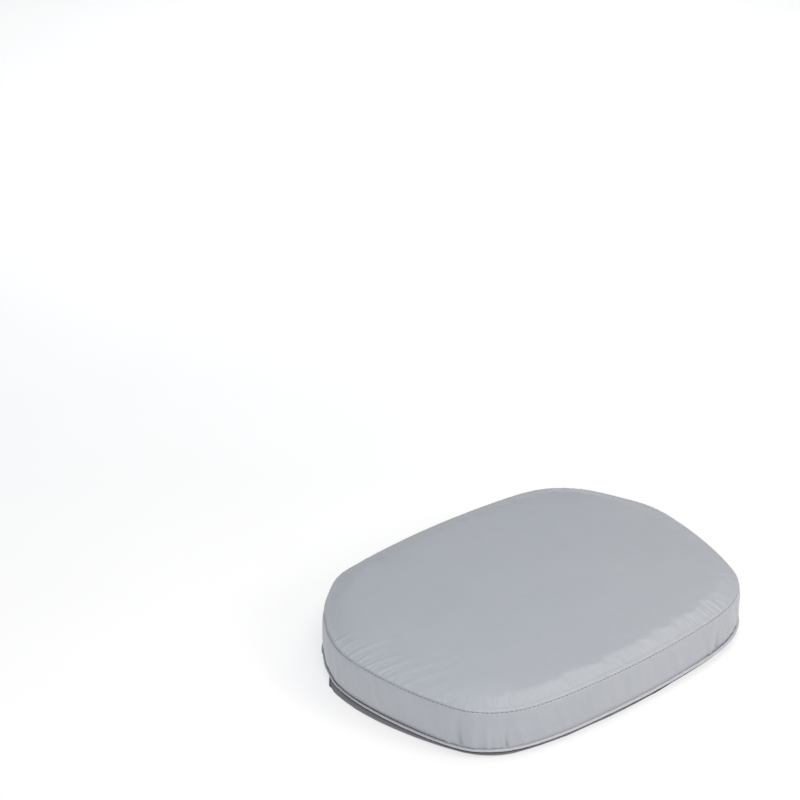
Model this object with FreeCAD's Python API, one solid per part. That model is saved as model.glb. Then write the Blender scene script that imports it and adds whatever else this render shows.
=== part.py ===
import FreeCAD, Part
import math
import os

# Box seat cushion in a zipped fabric cover, with a slip-on pocket underneath.
#
# Frame: +Z up, the floor plane of the pocket at Z = 0, X across the seat (the cushion is
# symmetric about X = 0), +Y towards the mouth of the pocket and the zip, -Y towards the
# sitter's knees.  Millimetres.

V = FreeCAD.Vector

# ---------------------------------------------------------------- driving dimensions
# Plan outline of the top seam: a chain of tangent arcs from the rear middle (0, +Y) clockwise
# to the front middle (0, -Y).  Radii and turns in mm and degrees; the last arc closes the half.
REAR_Y = 152.3
ARC_R = [828.0, 122.2, 84.4, 94.6, 335.4, 898.0, 98.2, 396.8, 367.7, 61.6, 96.1, 95.6, 81.0,
         152.5, 351.7]
ARC_TURN = [8.30, 9.24, 16.11, 28.20, 3.94, 1.50, 25.30, 9.94, 8.89, 23.92, 6.82, 10.05, 8.74,
            7.49, 6.34]

POCKET_H = 10.6          # height of the pocket under the base panel
BASE_T = 1.2             # base panel
SEAM_Z = 54.0            # height of the top seam
CROWN_Z = 64.0           # height of the crown in the middle of the top
DOME_R = 6000.0          # radius of the crowned top
EDGE_R = 6.0             # roll of the top panel at the seam
COVER_T = 0.9            # cover fabric with its lining
GAP = 0.1                # slack between layers
WADDING_T = 3.0
WELT_OUT = 3.7           # how far the welt stands out of the side
WELT_H = 3.8
WELT_CORD_D = 2.2

# Zip
ZIP_Z = 33.0             # height of the zip's centre line
ZIP_HALF_TURN = 8.15     # half the angle of the rear arc that the zip panel covers, degrees
ZIP_OPENING = 12.0       # free height between the two plackets
TAPE_T = 0.6
TAPE_W = 14.0
COIL_T = 2.0
COIL_IN = 0.85           # inner edge of each coil from the centre line
COIL_OUT = 2.30
STOP_HALF = 1.5          # half length of an end stop along the zip
SLIDER_TURN = 7.20       # slider's place at each end of its travel, degrees from the middle
SLIDER_L = 10.0
SLIDER_W = 9.0
SLIDER_PLATE = 1.2
BAIL_OUT = 3.55          # bail bar's axis, out from the seam outline
BAIL_R = 0.60
PULL_HOLE_R = 0.66
PULL_EYE_R = 1.40
PULL_L = 17.0
PULL_W = 6.4
PULL_T = 1.0

# Pocket
MOUTH_Y = 52.0           # the pocket's mouth
FLOOR_T = 1.2
WALL_T = 1.2
HEM_W = 12.0
HEM_T = 0.8              # what the hem adds to the fabric it binds
FLOOR_FRONT_Y = -165.0   # plan outline of the pocket floor, arcs from the front middle
FLOOR_R = [553.0, 61.2, 344.0]
FLOOR_TURN = [15.0, 49.0, 56.0]

THREAD_D = 0.6

os.makedirs("parts", exist_ok=True)


# ---------------------------------------------------------------- plan outline
def chain(y0, radii, turns):
    """Arcs of the right half as (cx, cy, r, start angle, end angle), clockwise from (0, y0)."""
    px, py, hd = 0.0, y0, 0.0
    out = []
    for r, t in zip(radii, turns):
        t = math.radians(t)
        cx, cy = px + r * math.sin(hd), py - r * math.cos(hd)
        a = hd + math.pi / 2
        out.append((cx, cy, r, a, a - t))
        px, py = cx + r * math.cos(a - t), cy + r * math.sin(a - t)
        hd -= t
    return out, px, py, hd


_arcs, _px, _py, _hd = chain(REAR_Y, ARC_R, ARC_TURN)
_last = -_px / math.sin(_hd)                     # closes the half on X = 0
_turn = math.pi + _hd
_cx, _cy = _px + _last * math.sin(_hd), _py - _last * math.cos(_hd)
_arcs.append((0.0, _cy, _last, _hd + math.pi / 2, -math.pi / 2))
ARCS = _arcs
FRONT_Y = _cy - _last
REAR_CY = REAR_Y - ARC_R[0]                      # centre of the rear arc
print("front middle y", round(FRONT_Y, 2), "front arc radius", round(_last, 1),
      "turn", round(math.degrees(_turn), 2))


def arc_pts(a, d):
    cx, cy, r, a0, a1 = a
    return [V(cx + (r + d) * math.cos(t), cy + (r + d) * math.sin(t), 0)
            for t in (a0, (a0 + a1) / 2, a1)]


def outline(d, z):
    """Closed wire of the outline set out by d (in when negative), at height z."""
    edges = []
    for i, a in enumerate(ARCS):
        p0, pm, p1 = arc_pts(a, d)
        if i == 0:
            edges.append(Part.Arc(V(-p1.x, p1.y, z), V(0, p0.y, z), V(p1.x, p1.y, z)).toShape())
        elif i == len(ARCS) - 1:
            edges.append(Part.Arc(V(p0.x, p0.y, z), V(0, p1.y, z), V(-p0.x, p0.y, z)).toShape())
        else:
            edges.append(Part.Arc(V(p0.x, p0.y, z), V(pm.x, pm.y, z), V(p1.x, p1.y, z)).toShape())
    for a in reversed(ARCS[1:-1]):
        p0, pm, p1 = arc_pts(a, d)
        edges.append(Part.Arc(V(-p1.x, p1.y, z), V(-pm.x, pm.y, z), V(-p0.x, p0.y, z)).toShape())
    return Part.Wire(edges)


def slab(d, z0, z1):
    return Part.Face(outline(d, z0)).extrude(V(0, 0, z1 - z0))


def ring(d_out, d_in, z0, z1):
    return slab(d_out, z0, z1).cut(slab(d_in, z0 - 1, z1 + 1)).Solids[0]


def crowned(d, z0):
    """The cushion's body set in by d, from z0 up to its crowned, rolled top."""
    prism = slab(-d, z0, CROWN_Z + 5)
    ball = Part.makeSphere(DOME_R - d, V(0, 0, CROWN_Z - DOME_R))
    body = prism.common(ball)
    if body.Solids:
        body = body.Solids[0]
    top = [e for e in body.Edges if e.BoundBox.ZMin > SEAM_Z and e.Length > 1]
    r = max(EDGE_R - d, 2.0)
    return body.makeFillet(r, top)


def wedge(half_turn, y_min=100.0, z0=-10.0, z1=90.0):
    """Prism over the part of the rear edge within half_turn degrees of the middle."""
    ln = ARC_R[0] + 40
    s, c = math.sin(math.radians(half_turn)), math.cos(math.radians(half_turn))
    t = (y_min - REAR_CY)
    pts = [V(-t * s / c, y_min, z0), V(t * s / c, y_min, z0),
           V(ln * s, REAR_CY + ln * c, z0), V(-ln * s, REAR_CY + ln * c, z0),
           V(-t * s / c, y_min, z0)]
    return Part.Face(Part.makePolygon(pts)).extrude(V(0, 0, z1 - z0))


def rear_strip(d_out, d_in, z0, z1, half_turn):
    """Strip that follows the rear arc between two offsets and two heights."""
    r0, r1 = ARC_R[0] + d_in, ARC_R[0] + d_out
    a = math.radians(half_turn)

    def p(r, t):
        return V(r * math.sin(t), REAR_CY + r * math.cos(t), z0)
    w = Part.Wire([Part.Arc(p(r1, -a), p(r1, 0), p(r1, a)).toShape(),
                   Part.makeLine(p(r1, a), p(r0, a)),
                   Part.Arc(p(r0, a), p(r0, 0), p(r0, -a)).toShape(),
                   Part.makeLine(p(r0, -a), p(r1, -a))])
    return Part.Face(w).extrude(V(0, 0, z1 - z0))


def single(shape):
    s = shape.removeSplitter() if hasattr(shape, "removeSplitter") else shape
    return s.Solids[0] if len(s.Solids) == 1 else s


def save(name, shape):
    shape = single(shape)
    ok = shape.isValid() and all(s.isClosed() for s in shape.Solids) and len(shape.Solids) > 0
    bb = shape.BoundBox
    print("%-22s solids %2d  vol %11.1f  valid %s  x %.1f..%.1f y %.1f..%.1f z %.2f..%.2f" % (
        name, len(shape.Solids), shape.Volume, ok, bb.XMin, bb.XMax, bb.YMin, bb.YMax,
        bb.ZMin, bb.ZMax))
    shape.exportStep("parts/%s.step" % name)
    return shape


# ---------------------------------------------------------------- foam and wadding
BASE_Z = POCKET_H + BASE_T                        # underside of the filling
D_WAD = COVER_T + GAP
D_FOAM = D_WAD + WADDING_T + 0.4

foam = crowned(D_FOAM, BASE_Z + GAP)
save("foam_core", foam)

zip_room = wedge(8.6, 130.0, 0.0, 47.0)           # the wrap is open behind the zip
wad = crowned(D_WAD, BASE_Z + 3.0).cut(crowned(D_WAD + WADDING_T, BASE_Z + 1.0)).cut(zip_room)
save("wadding_wrap", wad)

# ---------------------------------------------------------------- cover
shell = crowned(0.0, SEAM_Z).cut(crowned(COVER_T, SEAM_Z - 5.0))
save("top_panel", shell)

wall = ring(0.0, -COVER_T, BASE_Z, SEAM_Z)
boxing = wall.cut(wedge(ZIP_HALF_TURN))
save("front_boxing", boxing)

half_open = ZIP_OPENING / 2
save("zip_placket_upper", rear_strip(0.0, -COVER_T, ZIP_Z + half_open, SEAM_Z, ZIP_HALF_TURN))
save("zip_placket_lower", rear_strip(0.0, -COVER_T, BASE_Z, ZIP_Z - half_open, ZIP_HALF_TURN))

# ---------------------------------------------------------------- zip
tape_out, tape_in = -COVER_T, -COVER_T - TAPE_T
save("zip_tape_upper", rear_strip(tape_out, tape_in, ZIP_Z + COIL_OUT, ZIP_Z + TAPE_W, ZIP_HALF_TURN))
save("zip_tape_lower", rear_strip(tape_out, tape_in, ZIP_Z - TAPE_W, ZIP_Z - COIL_OUT, ZIP_HALF_TURN))
coil_mid = (tape_out + tape_in) / 2
c_out, c_in = coil_mid + COIL_T / 2, coil_mid - COIL_T / 2
save("zip_coil_upper", rear_strip(c_out, c_in, ZIP_Z + COIL_IN, ZIP_Z + COIL_OUT, ZIP_HALF_TURN))
save("zip_coil_lower", rear_strip(c_out, c_in, ZIP_Z - COIL_OUT, ZIP_Z - COIL_IN, ZIP_HALF_TURN))


def on_rear(shape, turn):
    """Take a shape made at the middle of the rear edge to its place along the arc.
    A positive turn is towards +X."""
    s = shape.copy()
    s.rotate(V(0, REAR_CY, 0), V(0, 0, 1), -turn)
    return s


def stop_clip(z0, z1):
    """A bent clip round a coil: outer leg, inner leg and the back that joins them."""
    y = REAR_Y
    out_leg = Part.makeBox(2 * STOP_HALF, 0.5, z1 - z0, V(-STOP_HALF, y + c_out, z0))
    in_leg = Part.makeBox(2 * STOP_HALF, 0.5, z1 - z0, V(-STOP_HALF, y + c_in - 0.5, z0))
    mid = (z0 + z1) / 2
    back_z = z0 - 0.5 if mid > ZIP_Z else z1
    depth = c_out - c_in + 1.0
    back = Part.makeBox(2 * STOP_HALF, depth, 0.5, V(-STOP_HALF, y + c_in - 0.5, back_z))
    return out_leg.fuse([in_leg, back]).removeSplitter()


STOP_TURN = ZIP_HALF_TURN - math.degrees(2.0 / ARC_R[0])
tops = [on_rear(stop_clip(ZIP_Z + COIL_IN, ZIP_Z + COIL_OUT), STOP_TURN),
        on_rear(stop_clip(ZIP_Z - COIL_OUT, ZIP_Z - COIL_IN), STOP_TURN)]
save("zip_top_stops", Part.makeCompound([s for t in tops for s in t.Solids]))

# one wide clip over both coils at the open end
y = REAR_Y
plate_o = Part.makeBox(2 * STOP_HALF, 0.5, 2 * COIL_OUT, V(-STOP_HALF, y + c_out, ZIP_Z - COIL_OUT))
plate_i = Part.makeBox(2 * STOP_HALF, 0.5, 2 * COIL_OUT, V(-STOP_HALF, y + c_in - 0.5, ZIP_Z - COIL_OUT))
web = Part.makeBox(2 * STOP_HALF, c_out - c_in, 2 * COIL_IN - 0.1,
                   V(-STOP_HALF, y + c_in, ZIP_Z - COIL_IN + 0.05))
bottom = plate_o.fuse([plate_i, web]).removeSplitter()
save("zip_bottom_stop", on_rear(bottom, -STOP_TURN))

# slider: two plates with turned-in flanges, joined by a thin bridge between the coils
y = REAR_Y
front_y = y + c_out + 0.45                        # inner face of the outer plate
back_y = y + c_in - 0.45                          # outer face of the inner plate
hl, hw = SLIDER_L / 2, SLIDER_W / 2


def boat(y0, y1, l, w):
    """Slider plate: wide towards one end, narrow at the other, rounded corners."""
    pts = [V(-l, y0, -w * 0.72), V(l * 0.55, y0, -w), V(l, y0, -w * 0.80), V(l, y0, w * 0.80),
           V(l * 0.55, y0, w), V(-l, y0, w * 0.72), V(-l, y0, -w * 0.72)]
    b = Part.Face(Part.makePolygon(pts)).extrude(V(0, y1 - y0, 0))
    up = [e for e in b.Edges if abs(e.Vertexes[0].Point.y - e.Vertexes[1].Point.y) > 0.5]
    b = b.makeFillet(0.8, up)
    b.translate(V(0, 0, ZIP_Z))
    return b


outer = boat(front_y, front_y + SLIDER_PLATE, hl, hw)
inner = boat(back_y - SLIDER_PLATE, back_y, hl, hw)
try:
    rim = [e for e in outer.Edges if e.BoundBox.YMin > front_y + SLIDER_PLATE - 0.01]
    outer = outer.makeFillet(0.45, rim)
except Exception as err:
    print("rim left sharp", err)
fl_o = boat(y + tape_out + 0.4, front_y + 0.4, hl, hw)
fl_i = boat(back_y - 0.4, y + tape_in - 0.4, hl, hw)
channel = Part.makeBox(SLIDER_L + 4, 12, 2 * (COIL_OUT + 0.5), V(-hl - 2, y - 7, ZIP_Z - COIL_OUT - 0.5))
fl_o, fl_i = fl_o.cut(channel), fl_i.cut(channel)
bridge = Part.makeBox(4.4, front_y - back_y + 0.8, 2 * (COIL_IN - 0.42),
                      V(hl - 5.6, back_y - 0.4, ZIP_Z - (COIL_IN - 0.42)))
post_x0, post_w = 2.15, 1.1
bail_y = y + BAIL_OUT
posts = []
for sx in (-1, 1):
    x0 = post_x0 if sx > 0 else -post_x0 - post_w
    foot = Part.makeBox(post_w, bail_y - front_y - SLIDER_PLATE + 0.3, 2.0,
                        V(x0, front_y + SLIDER_PLATE - 0.3, ZIP_Z - 1.0))
    head = Part.makeCylinder(1.0, post_w, V(x0, bail_y, ZIP_Z), V(1, 0, 0))
    posts += [foot, head]
bar = Part.makeCylinder(BAIL_R, 2 * post_x0 + 0.2, V(-post_x0 - 0.1, bail_y, ZIP_Z), V(1, 0, 0))
slider = outer.fuse([inner, fl_o, fl_i, bridge, bar] + posts).removeSplitter()
save("zip_slider", on_rear(slider, SLIDER_TURN))

# pull tab: an eye on the bail bar, a neck and a tapered plate that hangs straight down
eye_hw = 1.85
eye = Part.makeCylinder(PULL_EYE_R, 2 * eye_hw, V(-eye_hw, bail_y, ZIP_Z), V(1, 0, 0))
tip_z = ZIP_Z - PULL_L
p = [V(-eye_hw, 0, ZIP_Z), V(-eye_hw, 0, ZIP_Z - 2.6), V(-PULL_W / 2, 0, ZIP_Z - 5.2),
     V(-PULL_W / 2, 0, tip_z + 1.6), V(-PULL_W / 2 + 1.6, 0, tip_z), V(PULL_W / 2 - 1.6, 0, tip_z),
     V(PULL_W / 2, 0, tip_z + 1.6), V(PULL_W / 2, 0, ZIP_Z - 5.2), V(eye_hw, 0, ZIP_Z - 2.6),
     V(eye_hw, 0, ZIP_Z), V(-eye_hw, 0, ZIP_Z)]
tab = Part.Face(Part.makePolygon(p)).extrude(V(0, PULL_T, 0))
tab.translate(V(0, bail_y - PULL_T / 2, 0))
slot = Part.makeBox(2.6, 4, 6.0, V(-1.3, bail_y - 2, tip_z + 3.2))
slot = slot.makeFillet(1.2, [e for e in slot.Edges if abs(e.Vertexes[0].Point.y - e.Vertexes[1].Point.y) > 3])
hole = Part.makeCylinder(PULL_HOLE_R, 2 * eye_hw + 2, V(-eye_hw - 1, bail_y, ZIP_Z), V(1, 0, 0))
pull = eye.fuse(tab).cut(slot).cut(hole).removeSplitter()
save("zip_pull", on_rear(pull, SLIDER_TURN))
print("bail axis at y", bail_y, "z", ZIP_Z, "rear arc centre y", REAR_CY)
_a = math.radians(SLIDER_TURN)
print("slider joint point", 0, REAR_CY, " pull axis point",
      round((bail_y - REAR_CY) * math.sin(_a), 4), round(REAR_CY + (bail_y - REAR_CY) * math.cos(_a), 4),
      ZIP_Z, " dir", round(math.cos(_a), 6), round(-math.sin(_a), 6), 0)

# ---------------------------------------------------------------- welt and base panel
welt_z0 = POCKET_H
welt = ring(WELT_OUT, 0.0, welt_z0, welt_z0 + WELT_H)
rim = [e for e in welt.Edges if abs(e.BoundBox.ZMax - e.BoundBox.ZMin) < 0.01
       and (abs(e.BoundBox.ZMin - welt_z0) < 0.01 or abs(e.BoundBox.ZMin - welt_z0 - WELT_H) < 0.01)]
outer_len = {}
zs = outline(WELT_OUT, 0)
outer_edges = []
for e in rim:
    m = e.valueAt((e.FirstParameter + e.LastParameter) / 2)
    d = Part.Vertex(V(m.x, m.y, 0)).distToShape(zs)[0]
    if d < 0.05:
        outer_edges.append(e)
welt = welt.makeFillet(1.7, outer_edges)
cord_d = WELT_OUT - WELT_CORD_D - 0.55
cord_z = welt_z0 + WELT_H / 2 - WELT_CORD_D / 2
bore = ring(cord_d + WELT_CORD_D, cord_d, cord_z, cord_z + WELT_CORD_D)
save("base_welt", welt.cut(bore))
cord = ring(cord_d + WELT_CORD_D - 0.05, cord_d + 0.05, cord_z + 0.05, cord_z + WELT_CORD_D - 0.05)
save("welt_cord", cord)

save("base_panel", slab(-0.05, POCKET_H, BASE_Z - 0.0))

# ---------------------------------------------------------------- pocket
def floor_points(d, n=72):
    """Points of the pocket floor's outline set in by d, from the front middle to the mouth,
    right-hand side."""
    pts = []
    segs, _, _, _ = chain(-FLOOR_FRONT_Y, FLOOR_R, FLOOR_TURN)
    for cx, cy, r, a0, a1 in segs:
        k = max(4, int(abs(a0 - a1) * r / 6))
        for i in range(k):
            t = a0 + (a1 - a0) * i / k
            pts.append((cx + (r - d) * math.cos(t), -(cy + (r - d) * math.sin(t))))
    out = [pts[0]]
    for q in pts[1:]:
        if q[1] >= MOUTH_Y:
            a, b = out[-1], q
            k = (MOUTH_Y - a[1]) / (b[1] - a[1])
            out.append((a[0] + (b[0] - a[0]) * k, MOUTH_Y))
            break
        out.append(q)
    return resample(out, n)


def seam_points(d, n=72):
    """The same for the seam outline set in by d: front middle to the mouth, right-hand side."""
    pts = []
    for cx, cy, r, a0, a1 in reversed(ARCS):
        k = max(4, int(abs(a0 - a1) * r / 6))
        for i in range(k):
            t = a1 + (a0 - a1) * i / k
            pts.append((cx + (r - d) * math.cos(t), cy + (r - d) * math.sin(t)))
    out = [pts[0]]
    for q in pts[1:]:
        if q[1] >= MOUTH_Y:
            a, b = out[-1], q
            k = (MOUTH_Y - a[1]) / (b[1] - a[1])
            out.append((a[0] + (b[0] - a[0]) * k, MOUTH_Y))
            break
        out.append(q)
    return resample(out, n)


def resample(pts, n):
    s = [0.0]
    for a, b in zip(pts, pts[1:]):
        s.append(s[-1] + math.hypot(b[0] - a[0], b[1] - a[1]))
    out, j = [], 0
    for i in range(n):
        t = s[-1] * i / (n - 1)
        while j < len(s) - 2 and s[j + 1] < t:
            j += 1
        k = (t - s[j]) / (s[j + 1] - s[j])
        out.append((pts[j][0] + (pts[j + 1][0] - pts[j][0]) * k,
                    pts[j][1] + (pts[j + 1][1] - pts[j][1]) * k))
    return out


def u_curve(half, z):
    """Curve from the left of the mouth round the front to the right of the mouth."""
    left = [V(-x, yy, z) for x, yy in reversed(half)]
    right = [V(x, yy, z) for x, yy in half[1:]]
    left[-1] = V(0, half[0][1], z)
    c = Part.BSplineCurve()
    c.interpolate(left + right)
    return c.toShape()


def u_solid(lo_out, hi_out, lo_in, hi_in, z0, z1):
    """Wall between two ruled U-shaped faces."""
    lo, ho = u_curve(lo_out, z0), u_curve(hi_out, z1)
    li, hi = u_curve(lo_in, z0), u_curve(hi_in, z1)
    f_out = Part.makeRuledSurface(lo, ho)
    f_in = Part.makeRuledSurface(li, hi)

    def ends(e):
        return e.valueAt(e.FirstParameter), e.valueAt(e.LastParameter)

    def cap(a, b):
        a0, a1 = ends(a)
        b0, b1 = ends(b)
        return Part.Face(Part.Wire(Part.__sortEdges__([a, Part.makeLine(a1, b1), b, Part.makeLine(a0, b0)])))
    f_lo, f_hi = cap(lo, li), cap(ho, hi)
    quads = []
    for k in (0, 1):
        q = [ends(lo)[k], ends(ho)[k], ends(hi)[k], ends(li)[k]]
        quads.append(Part.Face(Part.makePolygon(q + [q[0]])))
    sh = Part.Shell([f for s in (f_out, f_in, f_lo, f_hi, quads[0], quads[1])
                     for f in (s.Faces if hasattr(s, "Faces") else [s])])
    sh.sewShape()
    so = Part.Solid(sh)
    if so.Volume < 0:
        so.reverse()
    return so


floor_half = floor_points(0.0)
lw = u_curve(floor_half, 0.0)
a0, a1 = lw.valueAt(lw.FirstParameter), lw.valueAt(lw.LastParameter)
floor = Part.Face(Part.Wire([lw, Part.makeLine(a1, a0)])).extrude(V(0, 0, FLOOR_T))
save("pocket_floor", floor)

TOP_IN = 0.3
pw = u_solid(floor_points(0.0), seam_points(TOP_IN), floor_points(WALL_T), seam_points(TOP_IN + WALL_T),
             FLOOR_T, POCKET_H)
save("pocket_wall", pw)

# hem: a bound strip along the mouth, on the floor and up both ends of the wall
hem_box = Part.makeBox(500, HEM_W, POCKET_H - FLOOR_T - 0.6, V(-250, MOUTH_Y - HEM_W, FLOOR_T))
strip_half = floor_points(WALL_T + 0.02)
sw = u_curve(strip_half, FLOOR_T)
b0, b1 = sw.valueAt(sw.FirstParameter), sw.valueAt(sw.LastParameter)
inside = Part.Face(Part.Wire([sw, Part.makeLine(b1, b0)])).extrude(V(0, 0, HEM_T))
floor_strip = inside.common(hem_box)
end_box = Part.makeBox(500, HEM_W, POCKET_H, V(-250, MOUTH_Y - HEM_W, 0))
up = u_solid(floor_points(-HEM_T), seam_points(TOP_IN - HEM_T), floor_points(-0.03), seam_points(TOP_IN - 0.03),
             FLOOR_T, POCKET_H)
foot = u_solid(floor_points(-HEM_T), floor_points(-HEM_T), floor_points(-0.03), floor_points(-0.03), 0.0, FLOOR_T)
side_strip = up.common(end_box).fuse(foot.common(end_box)).cut([floor, pw])
floor_strip = floor_strip.cut([floor, pw])
save("pocket_hem", Part.makeCompound(floor_strip.Solids + side_strip.Solids))


# ---------------------------------------------------------------- thread
def thread_ring(d, z, dia):
    h = dia / 2
    return ring(d + h, d - h, z - h, z + h)


save("top_seam_stitching", thread_ring(0.3, SEAM_Z - 0.4, THREAD_D))
save("base_seam_stitching", thread_ring(0.3, POCKET_H + WELT_H + 0.5, THREAD_D))
h = THREAD_D / 2
stitch_half_o, stitch_half_i = floor_points(3.0 - h), floor_points(3.0 + h)
pocket_thread = u_solid(stitch_half_o, stitch_half_o, stitch_half_i, stitch_half_i,
                        FLOOR_T + 0.02, FLOOR_T + 0.02 + THREAD_D * 0.6)
save("pocket_seam_stitching", pocket_thread.cut(Part.makeBox(500, 40, 10, V(-250, MOUTH_Y - HEM_W - 0.5, 0))))
rows = [rear_strip(0.45, 0.02, ZIP_Z + s * (half_open + 3.0) - h, ZIP_Z + s * (half_open + 3.0) + h, ZIP_HALF_TURN)
        for s in (-1, 1)]
save("zip_stitching", Part.makeCompound([s for r in rows for s in r.Solids]))
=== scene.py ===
import math

import bmesh
import bpy
import numpy as np
from mathutils import Matrix


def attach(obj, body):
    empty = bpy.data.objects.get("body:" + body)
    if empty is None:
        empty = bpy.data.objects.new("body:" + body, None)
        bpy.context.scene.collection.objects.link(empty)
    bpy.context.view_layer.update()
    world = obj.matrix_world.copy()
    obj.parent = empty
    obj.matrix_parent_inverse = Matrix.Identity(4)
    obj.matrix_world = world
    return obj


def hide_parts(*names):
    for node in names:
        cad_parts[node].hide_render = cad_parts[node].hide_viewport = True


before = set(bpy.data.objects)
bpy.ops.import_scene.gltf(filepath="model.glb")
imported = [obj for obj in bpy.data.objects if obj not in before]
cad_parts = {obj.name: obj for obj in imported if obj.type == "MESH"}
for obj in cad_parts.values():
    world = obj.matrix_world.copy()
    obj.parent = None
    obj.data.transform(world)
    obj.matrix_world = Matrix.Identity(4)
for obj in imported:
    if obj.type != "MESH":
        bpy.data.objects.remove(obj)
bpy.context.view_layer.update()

MM = 0.001
PI = math.pi

# ------------------------------------------------------------------ sizes, millimetres
REAR_Y = 152.3
ARC_R = [828.0, 122.2, 84.4, 94.6, 335.4, 898.0, 98.2, 396.8, 367.7, 61.6, 96.1, 95.6, 81.0, 152.5, 351.7]
ARC_TURN = [8.30, 9.24, 16.11, 28.20, 3.94, 1.50, 25.30, 9.94, 8.89, 23.92, 6.82, 10.05, 8.74, 7.49, 6.34]
REAR_CY = REAR_Y - ARC_R[0]
SEAM_Z = 54.0
WELT_Z = 12.5
ZIP_Z = 33.0
ZIP_S = math.radians(8.15) * ARC_R[0]      # half length of the zip panel along the outline
MOUTH_Y = 52.0
HEM_W = 12.0
FLOOR_FRONT_Y = -165.0
FLOOR_R = [553.0, 61.2, 344.0]
FLOOR_TURN = [15.0, 49.0, 56.0]


# ------------------------------------------------------------------ plan outline
def half_chain():
    px, py, hd = 0.0, REAR_Y, 0.0
    out = []
    for r, t in zip(ARC_R, ARC_TURN):
        t = math.radians(t)
        cx, cy = px + r * math.sin(hd), py - r * math.cos(hd)
        a = hd + PI / 2
        m = max(4, int(r * t / 0.5))
        u = a - t * np.arange(m) / m
        out.append(np.stack([cx + r * np.cos(u), cy + r * np.sin(u)], 1))
        px, py = cx + r * math.cos(a - t), cy + r * math.sin(a - t)
        hd -= t
    r = -px / math.sin(hd)
    cy = py - r * math.cos(hd)
    a = hd + PI / 2
    t = a + PI / 2
    m = int(r * t / 0.5)
    u = a - t * np.arange(m + 1) / m
    out.append(np.stack([r * np.cos(u), cy + r * np.sin(u)], 1))
    return np.concatenate(out)


HALF = half_chain()
LOOP = np.concatenate([HALF, (HALF[1:-1] * [-1, 1])[::-1]])
_d = np.r_[0, np.cumsum(np.hypot(*(np.roll(LOOP, -1, 0) - LOOP).T))]
LEN = float(_d[-1])
_fine = 2600
_s = np.arange(_fine) * LEN / _fine
_c = np.r_[LOOP, LOOP[:1]]
_x = np.stack([np.interp(_s, _d, _c[:, 0]), np.interp(_s, _d, _c[:, 1])], 1)
_g = np.exp(-2 * (PI * np.fft.fftfreq(_fine, LEN / _fine) * 5.0) ** 2)
_x = np.real(np.fft.ifft(np.fft.fft(_x, axis=0) * _g[:, None], axis=0))


def around(s, keys):
    """A value given at arc lengths round the outline, joined smoothly."""
    ks = np.array([k for k, _ in keys], float)
    vs = np.array([v for _, v in keys], float)
    ks = np.r_[ks - LEN, ks, ks + LEN]
    vs = np.r_[vs, vs, vs]
    o = np.argsort(ks)
    ks, vs = ks[o], vs[o]
    s = np.mod(np.asarray(s, float), LEN)
    i = np.clip(np.searchsorted(ks, s) - 1, 0, len(ks) - 2)
    t = (s - ks[i]) / (ks[i + 1] - ks[i])
    t = t * t * (3 - 2 * t)
    return vs[i] * (1 - t) + vs[i + 1] * t


def normals(x):
    t = np.roll(x, -1, 0) - np.roll(x, 1, 0)
    t /= np.hypot(*t.T)[:, None]
    return t, np.stack([-t[:, 1], t[:, 0]], 1)


# the soft cover's left rear corner is sewn a little flatter than its twin
FLAT_CORNER = [(640, 0), (985, 0), (1008, 0.5), (1034, 0.2), (1060, -2.4), (1085, -5.8), (1104, -6.3), (1157, 0), (1274, 0)]
_t, _n = normals(_x)
_x = _x + _n * around(_s, FLAT_CORNER)[:, None]
_t, _n = normals(_x)
_turn = np.unwrap(np.arctan2(_t[:, 1], _t[:, 0]))
_k = -np.gradient(_turn, LEN / _fine)
_k = np.real(np.fft.ifft(np.fft.fft(_k) * np.exp(-2 * (PI * np.fft.fftfreq(_fine, LEN / _fine) * 9.0) ** 2)))


def periodic(s, col):
    return np.interp(np.mod(s, LEN), np.r_[_s, LEN], np.r_[col, col[:1]])


_in = np.real(np.fft.ifft(np.fft.fft(_n, axis=0) * np.exp(-2 * (PI * np.fft.fftfreq(_fine, LEN / _fine) * 32.0) ** 2)[:, None], axis=0))
_in /= np.hypot(*_in.T)[:, None]


def inward(s):
    """Directions for lines that run in from the seam without crossing each other."""
    v = np.stack([periodic(s, _in[:, 0]), periodic(s, _in[:, 1])], -1)
    return v / np.linalg.norm(v, axis=-1, keepdims=True)


def plan(s):
    """Points, outward normals and curvature of the seam outline at arc lengths s, clockwise from the rear middle."""
    s = np.asarray(s, float)
    p = np.stack([periodic(s, _x[:, 0]), periodic(s, _x[:, 1])], -1)
    n = np.stack([periodic(s, _n[:, 0]), periodic(s, _n[:, 1])], -1)
    n /= np.linalg.norm(n, axis=-1, keepdims=True)
    return p, n, periodic(s, _k)


def smooth(x, a, b):
    t = np.clip((x - a) / (b - a), 0, 1)
    return t * t * (3 - 2 * t)


def sdiff(s, c):
    return (np.asarray(s) - c + LEN / 2) % LEN - LEN / 2


def wave_noise(rng, s, n, lo, hi):
    """A smooth periodic noise along the outline made of n sines with wavelengths from lo to hi mm."""
    out = np.zeros_like(np.asarray(s, float))
    for _ in range(n):
        w = math.exp(rng.uniform(math.log(lo), math.log(hi)))
        k = max(1, round(LEN / w))
        out += math.sqrt(2.0 / n) * np.sin(2 * PI * k * s / LEN + rng.uniform(0, 2 * PI))
    return out


# ------------------------------------------------------------------ creases
RNG = np.random.default_rng(11)


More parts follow.
